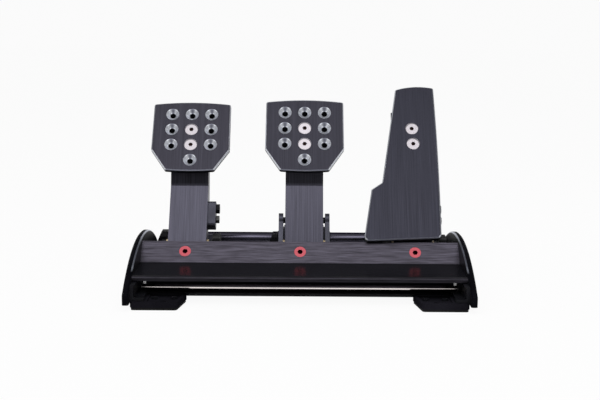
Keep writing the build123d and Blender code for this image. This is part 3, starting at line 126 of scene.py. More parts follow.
# Springs: distances down the rod from its pin, and the coil.
SPRING_START = 0.0193
SPRING_END = 0.0677
SPRING_TURNS = 6.5
SPRING_MEAN_RADIUS = 0.0094
CLUTCH_WIRE = 0.0016
THROTTLE_WIRE = 0.0013
SPRING_CLOSE_GAP = 0.0006
SPRING_CLOSE_TURNS = 0.5
SPRING_EASE_TURNS = 0.5
SPRING_STEPS_PER_TURN = 48
WIRE_SIDES = 14

# The brake's rubber rings and washers.
STACK_START = 0.0193
STACK_END = 0.0717
STACK_RINGS = 3
RING_RADIUS = 0.0130
RING_BORE = 0.0050
RING_GROOVE = 0.0016
RING_LIP = 0.0006
RING_STEPS = 8
WASHER_THICKNESS = 0.0022
WASHER_EDGE = WASHER_THICKNESS / 6
WASHER_RADIUS = 0.0136
LATHE_STEPS = 64

# The floor, which curves up far behind, and the part of it under the set that doesn't glow.
FLOOR_REACH = 14.0
FLOOR_CURVE = 3.0
FLOOR_STEPS = 12
FLOOR_TONE = 0.86
FLOOR_GLOW = 0.93
SHADE_SIDE = (0.203, 0.212)
SHADE_FRONT = (-0.07, -0.05)
SHADE_BACK = (0.13, 0.16)

# The sky's level by height, and its share from front to back.
SKY_HEIGHTS = (0.25, 0.8)
SKY_LEVELS = (0.10, 0.9)
SKY_BACKWARD = (-0.1, 0.5)
SKY_SHARES = (1.0, 0.3)

# Each lamp's place, target, size and power in watts.
LAMPS = {
    "key": ((0.0, -1.0, 1.7), (0.0, 0.0, 0.08), (1.8, 0.9), 17.0),
    "back": ((0.0, 1.5, 1.5), (0.0, 0.0, 0.1), (1.8, 0.6), 1.5),
    "strip": ((0.0, -1.65, 0.2), (0.0, 0.0, 0.02), (3.2, 0.3), 3.0),
}


# Shader helpers


class Nodes:
    """A node tree, with short ways to add and join nodes."""

    def __init__(self, tree):
        self.tree = tree

    def add(self, kind, **settings):
        node = self.tree.nodes.new(kind)
        for name, value in settings.items():
            setattr(node, name, value)
        return node

    def join(self, source, target):
        self.tree.links.new(source, target)

    def math(self, operation, first, second=0.0, clamp=False):
        node = self.add("ShaderNodeMath", operation=operation, use_clamp=clamp)
        for socket, value in zip(node.inputs, (first, second)):
            if isinstance(value, (int, float)):
                socket.default_value = value
            else:
                self.join(value, socket)
        return node.outputs[0]

    def product(self, first, *others):
        """Two or more values multiplied together."""
        for other in others:
            first = self.math("MULTIPLY", first, other)
        return first

    def larger(self, first, second):
        return self.math("MAXIMUM", first, second)

    def ranged(self, value, low, high, to_low=0.0, to_high=1.0):
        """A value moved from one range to another and held inside it."""
        node = self.add("ShaderNodeMapRange")
        node.inputs["From Min"].default_value = low
        node.inputs["From Max"].default_value = high
        node.inputs["To Min"].default_value = to_low
        node.inputs["To Max"].default_value = to_high
        self.join(value, node.inputs["Value"])
        return node.outputs["Result"]

    def above(self, value, limit, blur=EDGE_BLUR):
        """1 where a value lies above a limit, 0 elsewhere."""
        return self.ranged(value, limit - blur, limit + blur)

    def below(self, value, limit, blur=EDGE_BLUR):
        """1 where a value lies below a limit, 0 elsewhere."""
        return self.ranged(value, limit - blur, limit + blur, 1.0, 0.0)

    def between(self, value, low, high, blur=FACING_BLUR):
        """1 where a value lies between two limits, 0 elsewhere."""
        return self.product(self.above(value, low, blur), self.below(value, high, blur))

    def turning(self, where, value, other=0.0):
        """A value that turns into another one where a mask is 1."""
        return self.ranged(where, 0.0, 1.0, value, other)

    def measured(self, output, way):
        """An output of the object's coordinates, measured along a way fixed in the object."""
        place = self.add("ShaderNodeTexCoord")
        dot = self.add("ShaderNodeVectorMath", operation="DOT_PRODUCT")
        dot.inputs[1].default_value = way
        self.join(place.outputs[output], dot.inputs[0])
        return dot.outputs["Value"]

    def facing(self, way):
        """How squarely the surface faces a way: 1 square on, -1 away."""
        return self.measured("Normal", way)

    def along(self, way):
        """How far a point lies along a way, in metres."""
        return self.measured("Object", way)


class Shader(Nodes):
    """A material's nodes, which end in its principled surface."""

    def __init__(self, name):
        self.material = bpy.data.materials.new(name)
        self.material.use_nodes = True
        super().__init__(self.material.node_tree)
        self.surface = self.tree.nodes["Principled BSDF"]

    def noise(self, scale, detail=2.0, roughness=0.5):
        """Noise from 0 to 1, over coordinates stretched by a scale along each axis."""
        place = self.add("ShaderNodeTexCoord")
        mapping = self.add("ShaderNodeMapping")
        mapping.inputs["Scale"].default_value = scale
        self.join(place.outputs["Object"], mapping.inputs["Vector"])
        noise = self.add("ShaderNodeTexNoise")
        noise.inputs["Scale"].default_value = 1.0
        noise.inputs["Detail"].default_value = detail
        noise.inputs["Roughness"].default_value = roughness
        self.join(mapping.outputs["Vector"], noise.inputs["Vector"])
        return noise.outputs["Fac"]

    def blend(self, factor, first, second):
        """A colour between two colours."""
        node = self.add("ShaderNodeMix", data_type="RGBA")
        self.join(factor, node.inputs["Factor"])
        for socket, value in ((node.inputs["A"], first), (node.inputs["B"], second)):
            if isinstance(value, tuple):
                socket.default_value = (*value, 1.0)
            else:
                self.join(value, socket)
        return node.outputs["Result"]

    def spread(self, noise, middle, ends):
        """A roughness that noise moves round its middle, from one end to the other."""
        return self.ranged(noise, *WIDE, middle + ends[0], middle + ends[1])

    def smoother(self, rough, where, amount):
        """A roughness that is lower by an amount where a mask is 1."""
        return self.math("ADD", rough, self.product(where, -amount))

    def number(self, name, value):
        """Sets one of the surface's inputs."""
        self.surface.inputs[name].default_value = value

    def drive(self, name, value):
        """Joins a computed value to one of the surface's inputs."""
        self.join(value, self.surface.inputs[name])

    def bump(self, height, distance, strength):
        node = self.add("ShaderNodeBump")
        node.inputs["Distance"].default_value = distance
        node.inputs["Strength"].default_value = strength
        self.join(height, node.inputs["Height"])
        self.drive("Normal", node.outputs["Normal"])

    def finished(self, colour, rough):
        """The material, once its colour and roughness are joined."""
        self.drive("Base Color", colour)
        self.drive("Roughness", rough)
        return self.material


def linear(red, green, blue):
    """A display colour from 0 to 255 as the linear colour that a shader takes (sRGB's curve)."""
    found = []
    for value in (red, green, blue):
        share = value / 255
        found.append(share / 12.92 if share <= 0.04045 else ((share + 0.055) / 1.055) ** 2.4)
    return tuple(found)


def even(scale):
    """A noise scale that is the same along each axis."""
    return (scale, scale, scale)


# Materials

BARE_METAL = linear(244, 247, 255)
CHAMFER_METAL = linear(190, 195, 208)
SHADED_METAL = linear(128, 130, 144)
# Painted shade: the black toward which pad walls, hole floors, cone tops, arm necks, the beam's
# lip and screw-head crescents are darkened.
PAINTED_SHADE_BLACK = linear(5, 5, 7)
BOLT_BLACK = linear(20, 20, 23)
SHELF_BLACK = linear(20, 20, 24)
# Painted shade inside the screw sockets.
SOCKET_SHADE_BROWN = linear(48, 32, 30)
SOCKET_SHADE_RED = linear(16, 2, 5)

# Scales of noise, per metre.
ALONG_X = ((45.0, 900.0, 900.0), (24.0, 420.0, 420.0))
ALONG_ARM = ((1900.0, 14.0, 14.0), (820.0, 7.0, 7.0))
NECK_STREAKS = (900.0, 9.0, 9.0)
TURNED_RINGS = (2200.0, 60.0, 60.0)
CLOUD = even(24.0)
PLATE_CLOUD = even(30.0)
PLATE_GRAIN = even(1200.0)
SCREW_GRAIN = even(700.0)
CLOUD_DETAIL = 3.0

# The two ends between which noise moves each roughness.
BRUSHED_SPREAD = (0.05, -0.04)
COATED_SPREAD = (-0.05, 0.08)
POLISHED_SPREAD = (-0.02, 0.03)
TURNED_SPREAD = (0.0, 0.1)
SCREW_SPREAD = (0.0, 0.08)
PLATE_SPREAD = (-0.04, 0.06)

# Each bump's distance and strength.
BRUSHED_BUMP = (0.00008, 0.5)
TURNED_BUMP = (0.00003, 0.4)
SCREW_BUMP = (0.00003, 0.3)
PLATE_BUMP = (0.00004, 0.3)
COATED_BUMP_STRENGTH = 0.4

# How metallic, glossy, dark or smooth parts of a surface are; the darkness of walls, lip, neck,
# cone tops and screw heads is painted shade.
BRUSHED_METALLIC = 0.9
SHADED_METALLIC_LOSS = 0.5
USUAL_SPECULAR = 0.5
SHELF_SPECULAR = 0.045
PLATE_SPECULAR = (0.01, 0.3)
FINE_SHARE = 0.6
WALL_SHADE_DARKNESS = 0.75
LIP_SHADE_DARKNESS = 0.6
NECK_SHADE_DARKNESS = (0.52, 0.8)
CONE_SHADE_DARKNESS = 0.75
HEAD_DARKNESS = 0.7
WORN_SHARE = 0.85
RING_SHARE = 0.82
BARE_SMOOTHNESS = 0.04
SHELF_SMOOTHNESS = 0.2
CHAMFER_SMOOTHNESS = 0.08


def foremost(name, way):
    """How far the foremost point of a CAD node lies along a way."""
    return max(vertex.co.dot(Vector(way)) for vertex in nodes[name].data.vertices)


def runs(values):
    """The two ends of each run of values that lie closer together than HEAD_GAP."""
    found = []
    for value in sorted(values):
        if found and value - found[-1][1] < HEAD_GAP:
            found[-1][1] = value
        else:
            found.append([value, value])
    return found


def heads(name, way):
    """Middle along X, middle up the slope and radius of each screw head of a CAD node."""
    way = Vector(way)
    up = Vector((0.0, way.z, -way.y))
    top = foremost(name, way) - HEAD_TOP_DEPTH
    tops = [vertex.co for vertex in nodes[name].data.vertices if vertex.co.dot(way) > top]
    found = []
    for low_x, high_x in runs([point.x for point in tops]):
        column = [point.dot(up) for point in tops if low_x <= point.x <= high_x]
        for low_up, high_up in runs(column):
            found.append(((low_x + high_x) / 2, (low_up + high_up) / 2, (high_up - low_up) / 2))
    return found


def neck_foot(name):
    """The height at which an arm's upright neck begins: the foot of its largest upright face."""
    way = Vector(NECK_WAY)
    mesh = nodes[name].data
    upright = [face for face in mesh.polygons if face.normal.dot(way) > NECK_SQUARE_ON]
    largest = max(upright, key=lambda face: face.area)
    return min(mesh.vertices[index].co.z for index in largest.vertices)


def brushed(name, low, high, streaks, roughness):
    """A shader for brushed anodised metal, with the colour and roughness that others change."""
    shader = Shader(name)
    fine = shader.noise(streaks[0], detail=3.0, roughness=0.6)
    broad = shader.noise(streaks[1])
    mixed = shader.math(
        "ADD", shader.product(fine, FINE_SHARE), shader.product(broad, 1 - FINE_SHARE)
    )
    colour = shader.blend(shader.ranged(mixed, *STREAKS), low, high)
    shader.number("Metallic", BRUSHED_METALLIC)
    shader.bump(fine, *BRUSHED_BUMP)
    return shader, colour, shader.spread(mixed, roughness, BRUSHED_SPREAD)


def brushed_pad(name, low, high, node, way, rim=0.0):
    """Brushed face; painted shade darkens the walls below a bare rim; bare bevels and cones,
    shaded where they face down; painted shade in stripes at the cone tops and painted black in
    the holes.
    """
    shader, colour, rough = brushed(name, low, high, ALONG_ARM, roughness=0.4)
    facing = shader.facing(way)
    facing_down = shader.facing((0.0, -way[2], way[1]))
    depth = shader.math("SUBTRACT", shader.along(way), foremost(node, way))

    # Painted shade: walls and hole bores are darkened toward black.
    wall = shader.between(facing, *WALL)
    colour = shader.blend(shader.product(wall, WALL_SHADE_DARKNESS), colour, PAINTED_SHADE_BLACK)

    shallow = shader.above(depth, -CORNER_BARE_DEPTH)
    corner = shader.product(wall, shader.between(facing_down, *CORNER_WALL), shallow)
    bare = shader.larger(shader.between(facing, *BEVEL_OR_CONE), corner)
    if rim > 0:
        bare = shader.larger(bare, shader.product(wall, shader.above(depth, -rim)))
    shaded = shader.ranged(facing_down, *SHADED_BEVEL)
    colour = shader.blend(bare, colour, shader.blend(shaded, BARE_METAL, SHADED_METAL))

    # Painted shade: fine dark stripes darken the top of each cone.
    waves = shader.math("SINE", shader.product(shader.along(ACROSS), tau / MARK_PITCH))
    cone_shade_marks = shader.product(
        shader.ranged(waves, *MARK_WAVE),
        CONE_SHADE_DARKNESS,
        shader.between(depth, *MARK_DEPTHS, MARK_BLUR),
        bare,
        shader.ranged(facing_down, *CONE_TOP),
    )
    colour = shader.blend(cone_shade_marks, colour, PAINTED_SHADE_BLACK)

    # Painted shade: hole floors and the feet of the cones are painted black, with no metal or
    # gloss.
    floor = shader.product(shader.below(depth, -HOLE_DEPTH), shader.between(facing, *FACE))
    black = shader.larger(floor, shader.product(shader.below(depth, -CONE_SHADE_DEPTH), bare))
    colour = shader.blend(black, colour, PAINTED_SHADE_BLACK)

    metallic = shader.turning(black, BRUSHED_METALLIC)
    loss = shader.product(bare, shaded, SHADED_METALLIC_LOSS)
    shader.drive("Metallic", shader.math("SUBTRACT", metallic, loss, clamp=True))
    shader.drive("Specular IOR Level", shader.turning(black, USUAL_SPECULAR))
    return shader.finished(colour, shader.smoother(rough, bare, BARE_SMOOTHNESS))


def brushed_arm(name, low, high, node):
    """A folded arm: brushed, with painted shade darkening its upright neck."""
    shader, colour, rough = brushed(name, low, high, ALONG_ARM, roughness=0.38)
    foot = neck_foot(node)
    # Painted shade: the upright neck above its foot is darkened toward black in streaks.
    neck = shader.product(
        shader.ranged(shader.facing(NECK_WAY), *NECK_FRONT),
        shader.ranged(shader.along(UP), foot, foot + NECK_FADE),
        shader.ranged(shader.noise(NECK_STREAKS), *NARROW, *NECK_SHADE_DARKNESS),
    )
    return shader.finished(shader.blend(neck, colour, PAINTED_SHADE_BLACK), rough)


def brushed_beam(name, low, high):
    """The folded beam: brushed on its slope, with painted shade darkening its lip, dark and
    glossy on its shelf.
    """
    shader, colour, rough = brushed(name, low, high, ALONG_X, roughness=0.4)
    # Painted shade: the front lip is darkened toward black.
    lip = shader.ranged(shader.along(FORWARD), *LIP_FORWARD)
    colour = shader.blend(shader.product(lip, LIP_SHADE_DARKNESS), colour, PAINTED_SHADE_BLACK)
    shelf = shader.ranged(shader.facing(UP), *SHELF_TOP)
    colour = shader.blend(shelf, colour, SHELF_BLACK)
    shader.drive("Metallic", shader.turning(shelf, BRUSHED_METALLIC))
    shader.drive("Specular IOR Level", shader.turning(shelf, USUAL_SPECULAR, SHELF_SPECULAR))
    return shader.finished(colour, shader.smoother(rough, shelf, SHELF_SMOOTHNESS))


def coated(name, low, high, roughness, metallic=0.0, specular=0.3, grain=1400.0, bump=0.00005):
    """A coated or moulded surface with a fine grain and slow changes of tone."""
    shader = Shader(name)
    cloud = shader.noise(CLOUD, CLOUD_DETAIL)
    fine = shader.noise(even(grain))
    shader.number("Metallic", metallic)
    shader.number("Specular IOR Level", specular)
    shader.bump(fine, bump, COATED_BUMP_STRENGTH)
    colour = shader.blend(shader.ranged(cloud, *NARROW), low, high)
    return shader.finished(colour, shader.spread(fine, roughness, COATED_SPREAD))


def polished(name, low, high, roughness, edge):
    """Smooth metal with slow changes of tone; edge is how much grazing reflection it keeps."""
    shader = Shader(name)
    cloud = shader.noise(CLOUD, CLOUD_DETAIL)
    shader.number("Metallic", 1.0)
    shader.number("Specular Tint", (edge, edge, edge, 1.0))
    colour = shader.blend(shader.ranged(cloud, *NARROW), low, high)
    return shader.finished(colour, shader.spread(cloud, roughness, POLISHED_SPREAD))


def turned_metal(name, tone, roughness, metallic):
    """Bright turned metal with faint rings round the X axis."""
    shader = Shader(name)
    rings = shader.noise(TURNED_RINGS)
    darker = tuple(value * RING_SHARE for value in tone)
    shader.number("Metallic", metallic)
    shader.bump(rings, *TURNED_BUMP)
    colour = shader.blend(shader.ranged(rings, *WIDE), darker, tone)
    return shader.finished(colour, shader.spread(rings, roughness, TURNED_SPREAD))


def head_shade(shader, node, way):
    """A crescent of shade along the upper edge of each screw head."""
    across = shader.along(ACROSS)
    up = shader.along((0.0, way[2], -way[1]))
    near = None
    for middle_x, middle_up, radius in heads(node, way):
        beside = shader.math("SUBTRACT", across, middle_x)
        above = shader.math("SUBTRACT", up, middle_up - HEAD_SHADE_SHIFT)
        squares = [shader.math("POWER", side, 2.0) for side in (beside, above)]
        distance = shader.math("SQRT", shader.math("ADD", *squares))
        past = shader.math("SUBTRACT", distance, radius)
        near = past if near is None else shader.math("MINIMUM", near, past)
    edge = shader.ranged(near, *HEAD_SHADE_EDGE)
    return shader.product(edge, shader.ranged(shader.facing(way), *HEAD_FRONT), HEAD_DARKNESS)


def socket_screw(name, tone, dark, node, way, roughness, metallic, block_x=None):
    """Screws whose sockets are darkened with painted shade, with a crescent of shade on each head
    where block_x is given; beyond block_x lie the side block's bolts, which are black.
    """
    shader = Shader(name)
    grain = shader.noise(SCREW_GRAIN)
    worn = tuple(value * WORN_SHARE for value in tone)
    colour = shader.blend(shader.ranged(grain, *WIDE), worn, tone)
    depth = shader.math("SUBTRACT", shader.along(way), foremost(node, way))
    # Painted shade: the socket's recess is coloured dark and loses its metal and gloss.
    socket = shader.product(
        shader.between(depth, *SOCKET_DEPTHS, EDGE_BLUR),
        shader.ranged(shader.facing(way), *AWAY_FROM_HEAD),
    )
    colour = shader.blend(socket, colour, dark)
    metal = shader.turning(socket, metallic)
    if block_x is not None:
        colour = shader.blend(head_shade(shader, node, way), colour, PAINTED_SHADE_BLACK)
        black = shader.above(shader.along(ACROSS), block_x)
        colour = shader.blend(black, colour, BOLT_BLACK)
        metal = shader.product(metal, shader.math("SUBTRACT", 1.0, black))
    shader.drive("Metallic", metal)
    shader.drive("Specular IOR Level", shader.turning(socket, USUAL_SPECULAR))
    shader.bump(grain, *SCREW_BUMP)
    return shader.finished(colour, shader.spread(grain, roughness, SCREW_SPREAD))


def chamfered_black(name, low, high, roughness):
    """Black side plate with a dull edge, whose inner chamfer is bare metal."""
    shader = Shader(name)
    cloud = shader.noise(PLATE_CLOUD, CLOUD_DETAIL)
    fine = shader.noise(PLATE_GRAIN)
    sideways = shader.math("ABSOLUTE", shader.facing(ACROSS))
    out = shader.math("ABSOLUTE", shader.along(ACROSS))
    chamfer = shader.product(
        shader.between(sideways, *PLATE_CHAMFER),
        shader.below(out, PLATE_MIDDLE_X),
        shader.ranged(shader.along(UP), *CHAMFER_UP),
    )
    colour = shader.blend(shader.ranged(cloud, *NARROW), low, high)
    colour = shader.blend(chamfer, colour, CHAMFER_METAL)
    rough = shader.spread(fine, roughness, PLATE_SPREAD)
    shader.drive("Metallic", chamfer)
    shader.drive("Specular IOR Level", shader.ranged(sideways, *PLATE_SIDE, *PLATE_SPECULAR))
    shader.bump(fine, *PLATE_BUMP)
    return shader.finished(colour, shader.smoother(rough, chamfer, CHAMFER_SMOOTHNESS))


def assign(material, *names):
    """Gives CAD nodes a material."""
    for name in names:
        for slot in nodes[name].material_slots:
            slot.link = "OBJECT"
            slot.material = material


def dress_pedal(pedal):
    """Gives a pedal's arm and screws their materials."""
    arm = pedal + "_arm"
    screws = pedal + "_arm_screws"
    assign(brushed_arm(arm + "_brushed", linear(50, 49, 57), linear(71, 70, 81), arm), arm)
    metal = socket_screw(
        pedal + "_screws",
        linear(172, 167, 172),
        SOCKET_SHADE_BROWN,
        screws,
        PEDAL_WAY[pedal],
        roughness=0.4,
        metallic=0.8,
        block_x=PEDAL_X[pedal] + ARM_HALF,
    )
    assign(metal, screws)


def make_metals():
    """The brushed, polished and turned materials, each with the CAD nodes that wear it."""
    beam = brushed_beam("beam_brushed", linear(30, 28, 33), linear(71, 68, 78))
    clutch_pad = brushed_pad(
        "clutch_pad_brushed", linear(34, 33, 40), linear(52, 51, 59), "clutch_pad", PAD_WAY
    )
    brake_pad = brushed_pad(
        "brake_pad_brushed", linear(30, 30, 36), linear(46, 45, 53), "brake_pad", BRAKE_PAD_WAY
    )
    plate = brushed_pad(
        "plate_brushed",
        linear(30, 30, 37),
        linear(45, 45, 54),
        "throttle_plate",
        PAD_WAY,
        rim=PLATE_BARE_DEPTH,
    )
    red_bolt = socket_screw(
        "red_bolt",
        linear(186, 70, 83),
        SOCKET_SHADE_RED,
        "beam_bolts",
        BEAM_WAY,
        roughness=0.42,
        metallic=0.3,
    )
    bar = polished("bar_black", linear(62, 60, 70), linear(72, 70, 81), roughness=0.2, edge=0.03)
    rod = polished(
        "polished_steel", linear(226, 218, 216), linear(242, 234, 232), roughness=0.13, edge=1.0
    )
    brass = turned_metal("brass", linear(240, 216, 172), roughness=0.28, metallic=0.35)
    steel = turned_metal("bright_steel", linear(196, 198, 204), roughness=0.24, metallic=1.0)
    return {
        "beam": (beam, ("front_beam",)),
        "clutch_pad": (clutch_pad, ("clutch_pad",)),
        "brake_pad": (brake_pad, ("brake_pad",)),
        "plate": (plate, ("throttle_plate",)),
        "red_bolt": (red_bolt, ("beam_bolts",)),
        "bar": (bar, ("rear_bar",)),
        "polished": (rod, ("tie_rod",)),
        "brass": (brass, ("pivot_bushes",)),
        "steel": (steel, ("pivot_axles", "axle_circlips", "sockets")),
    }


def make_coats():
    """The coated and moulded materials, each with the CAD nodes that wear it."""
    red = coated(
        "red_anodised",
        linear(190, 44, 54),
        linear(208, 58, 68),
        roughness=0.34,
        metallic=0.6,
        specular=0.4,
    )
    stainless = coated(
        "stainless",
        linear(222, 214, 210),
        linear(236, 228, 224),
        roughness=0.3,
        metallic=0.55,
        specular=0.5,
        grain=300.0,
        bump=0.00001,
    )
    return {
        "side_plate": (
            chamfered_black("side_plate_black", linear(8, 8, 12), linear(15, 15, 20), 0.42),
            ("side_plate_left", "side_plate_right"),
        ),
        "black": (
            coated("black_coat", linear(19, 19, 23), linear(28, 28, 33), 0.42, specular=0.08),
            (
                "beam_brackets",
                "lower_rail",
                "bar_clamps",
                "rear_bar_block_left",
                "rear_bar_block_right",
                "frame_screws",
                "cheek_screws",
                "clutch_rod_pin",
                "brake_rod_pin",
                "throttle_rod_pin",
                "front_blocks",
                "clutch_cheek_left",
                "clutch_cheek_right",
                "throttle_cheek_left",
                "throttle_cheek_right",
            ),
        ),
        "feet": (
            coated("feet_black", linear(24, 23, 28), linear(33, 32, 38), 0.36, specular=0.0),
            ("front_feet", "rear_feet"),
        ),
        "grey": (
            coated("grey_anodised", linear(48, 48, 56), linear(64, 64, 74), 0.42, metallic=0.7),
            (
                "brake_cheek_left",
                "brake_cheek_right",
                "clutch_side_block",
                "throttle_side_block",
                "clutch_trunnion",
                "throttle_trunnion",
                "brake_load_cell",
            ),
        ),
        "plastic": (
            coated("black_plastic", linear(18, 18, 20), linear(28, 28, 31), 0.55, grain=900.0),
            ("electronics_housing", "housing_cover", "clutch_sensor", "throttle_sensor"),
        ),
        "rubber": (
            coated("black_rubber", linear(16, 16, 17), linear(26, 26, 27), 0.8, specular=0.2),
            ("rubber_feet", "stop_rubbers"),
        ),
        "ring_rubber": (
            coated("ring_rubber", linear(30, 30, 34), linear(44, 44, 48), 0.7, specular=0.25),
            (),
        ),
        "board": (
            coated("board_green", linear(12, 60, 34), linear(20, 84, 48), 0.4),
            ("circuit_board",),
        ),
        "red": (red, ("clutch_rod_nuts", "brake_rod_nuts", "throttle_rod_nuts")),
        "stainless": (stainless, ("clutch_rod", "brake_rod", "throttle_rod")),
    }


def dress_frame():
    """Gives every CAD node its material and returns the shared materials by a plain name."""
    for pedal in PEDAL_WAY:
        dress_pedal(pedal)
    shared = {}
    for name, (material, members) in {**make_metals(), **make_coats()}.items():
        assign(material, *members)
        shared[name] = material
    return shared


# Pieces that Blender makes: springs, rings and washers on the push rods


def joint(name):
    """A joint of the frame by name."""
    return next(item for item in frame["joints"] if item["name"] == name)


def rod_axes(pedal):
    """The rod pin's place, the way down the rod and the rod's stroke, from the frame's joints."""
    hinge = joint(pedal + "_pedal_hinge")
    pin = Vector(joint(pedal + "_rod_swing")["pos_m"])
    lever = pin - Vector(hinge["pos_m"])
    travel = radians(hinge["range_deg"][1])
    slope = atan2(lever.y, lever.z) + travel / 2
    down = Vector((0.0, cos(slope), -sin(slope)))
    stroke = 2 * lever.length * sin(travel / 2)
    return pin, down, stroke


def rod_matrix(pin, down, distance):
    """A frame on the rod's line, with Z pointing down the rod and X across."""
    across = Vector(ACROSS)
    side = down.cross(across)
    turn = Matrix((across, side, down)).transposed().to_4x4()
    return Matrix.Translation(pin + down * distance) @ turn


def mesh_object(name, mesh, material, smooth=True):
    """A scene object for a mesh."""
    for polygon in mesh.polygons:
        polygon.use_smooth = smooth
    mesh.materials.append(material)
    piece = bpy.data.objects.new(name, mesh)
    bpy.context.scene.collection.objects.link(piece)
    return piece


def finished_mesh(name, build):
    """A mesh from a bmesh, which is freed."""
    mesh = bpy.data.meshes.new(name)
    build.to_mesh(mesh)
    build.free()
    return mesh


def bridge(build, first, second):
    """Faces between two closed loops of as many vertices."""
    for index in range(len(first)):
        other = (index + 1) % len(first)
        build.faces.new((first[index], first[other], second[other], second[index]))


def helix_points(turns, height, radius, wire):
    """Points of a coil between two flat ends, with close turns at each end."""
    count = int(turns * SPRING_STEPS_PER_TURN)
    close = wire * 2 + SPRING_CLOSE_GAP
    rises = []
    for index in range(count):
        from_end = min(index, count - 1 - index) / SPRING_STEPS_PER_TURN
        eased = (from_end - SPRING_CLOSE_TURNS) / SPRING_EASE_TURNS
        rises.append(min(max(eased, 0.0), 1.0))
    extra = (height - wire * 2 - close * turns) / sum(rises)
    points = []
    z = wire
    for index in range(count + 1):
        angle = tau * index / SPRING_STEPS_PER_TURN
        points.append(Vector((radius * cos(angle), radius * sin(angle), z)))
        if index < count:
            z += close / SPRING_STEPS_PER_TURN + rises[index] * extra
    return points


def tube_mesh(name, points, radius):
    """A round tube along points that run round Z, closed at both ends."""
    build = bmesh.new()
    rings = []
    for index, point in enumerate(points):
        before = points[max(index - 1, 0)]
        after = points[min(index + 1, len(points) - 1)]
        way = (after - before).normalized()
        outward = Vector((point.x, point.y, 0.0)).normalized()
        lift = way.cross(outward).normalized()
        ring = []
        for side in range(WIRE_SIDES):
            angle = tau * side / WIRE_SIDES
            offset = (outward * cos(angle) + lift * sin(angle)) * radius
            ring.append(build.verts.new(point + offset))
        rings.append(ring)
    for first, second in zip(rings, rings[1:]):
        bridge(build, first, second)
    build.faces.new(list(reversed(rings[0])))
    build.faces.new(rings[-1])
    bmesh.ops.recalc_face_normals(build, faces=build.faces)
    return finished_mesh(name, build)


def lathe_mesh(name, profile):
    """A closed profile of (radius, height) points turned round Z."""
    build = bmesh.new()
    rings = []
    for step in range(LATHE_STEPS):
        angle = tau * step / LATHE_STEPS
        rings.append([build.verts.new((r * cos(angle), r * sin(angle), z)) for r, z in profile])
    for step in range(LATHE_STEPS):
        bridge(build, rings[step], rings[(step + 1) % LATHE_STEPS])
    bmesh.ops.recalc_face_normals(build, faces=build.faces)
    return finished_mesh(name, build)


def make_spring(pedal, wire, material):
    """A pedal's return spring, coiled along its push rod at rest."""
    pin, down, stroke = rod_axes(pedal)
    height = SPRING_END - SPRING_START
    points = helix_points(SPRING_TURNS, height, SPRING_MEAN_RADIUS, wire)
    mesh = tube_mesh(pedal + "_spring_coil", points, wire)
    mesh.transform(rod_matrix(pin, down, SPRING_START))
    spring = mesh_object(pedal + "_spring_coil", mesh, material)
    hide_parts(pedal + "_spring")
    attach(spring, "base")
    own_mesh(spring)


def ring_profile(height):
    """Half section of one rubber ring: waisted, with rounded lips."""
    points = [(RING_BORE, 0.0), (RING_RADIUS - RING_LIP, 0.0)]
    for step in range(RING_STEPS + 1):
        share = step / RING_STEPS
        groove = RING_GROOVE * sin(pi * share)
        points.append((RING_RADIUS - groove, RING_LIP + share * (height - RING_LIP * 2)))
    return points + [(RING_RADIUS - RING_LIP, height), (RING_BORE, height)]


def washer_profile():
    """Half section of one washer with bevelled outer edges."""
    return [
        (RING_BORE, 0.0),
        (WASHER_RADIUS - WASHER_EDGE, 0.0),
        (WASHER_RADIUS, WASHER_EDGE),
        (WASHER_RADIUS, WASHER_THICKNESS - WASHER_EDGE),
        (WASHER_RADIUS - WASHER_EDGE, WASHER_THICKNESS),
        (RING_BORE, WASHER_THICKNESS),
    ]


def turned_forms(name, profile, places, material, smooth):
    """One scene object made of like turned forms, one at each place."""
    build = bmesh.new()
    for place in places:
        form = lathe_mesh(name, profile)
        form.transform(place)
        build.from_mesh(form)
        bpy.data.meshes.remove(form)
    return mesh_object(name, finished_mesh(name, build), material, smooth)


def make_brake_stack(rubber, steel):
    """The brake's rubber rings and the washers between them, stacked along its push rod at rest.
    """
    pin, down, stroke = rod_axes("brake")
    length = STACK_END - STACK_START
    ring_height = (length - WASHER_THICKNESS * (STACK_RINGS - 1)) / STACK_RINGS
    pitch = ring_height + WASHER_THICKNESS
    starts = [STACK_START + index * pitch for index in range(STACK_RINGS)]
    ring_places = [rod_matrix(pin, down, start) for start in starts]
    washer_places = [rod_matrix(pin, down, start + ring_height) for start in starts[:-1]]
    rings = turned_forms("brake_rings", ring_profile(ring_height), ring_places, rubber, True)
    washers = turned_forms("brake_ring_washers", washer_profile(), washer_places, steel, False)
    rows = (
        (rings, "brake_elastomers", "elastomer"),
        (washers, "brake_stack_washers", "bright_steel"),
    )
    for piece, node, slot in rows:
        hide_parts(node)
        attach(piece, "base")
        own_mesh(piece)


# Stage, light and camera


def floor_material():
    """Pale floor that glows white to the camera and to reflections, but for the part in shade."""
    shader = Shader("pale_floor")
    output = shader.tree.nodes["Material Output"]
    shader.tree.nodes.remove(shader.surface)
    diffuse = shader.add("ShaderNodeBsdfDiffuse")
    diffuse.inputs["Color"].default_value = (FLOOR_TONE, FLOOR_TONE, FLOOR_TONE, 1.0)
    glow = shader.add("ShaderNodeEmission")
    glow.inputs["Color"].default_value = (1.0, 1.0, 1.0, 1.0)
    path = shader.add("ShaderNodeLightPath")
    seen = shader.larger(path.outputs["Is Camera Ray"], path.outputs["Is Glossy Ray"])
    seen = shader.larger(seen, path.outputs["Is Transmission Ray"])
    beside = shader.ranged(shader.math("ABSOLUTE", shader.along(ACROSS)), *SHADE_SIDE)
    back = shader.along(BACK)
    before = shader.ranged(back, *SHADE_FRONT, 1.0, 0.0)
    beyond = shader.ranged(back, *SHADE_BACK)
    clear = shader.larger(beside, shader.larger(before, beyond))
    mix = shader.add("ShaderNodeMixShader")
    shader.join(shader.product(seen, clear, FLOOR_GLOW), mix.inputs[0])
    shader.join(diffuse.outputs[0], mix.inputs[1])
    shader.join(glow.outputs[0], mix.inputs[2])
    shader.join(mix.outputs[0], output.inputs["Surface"])
    return shader.material


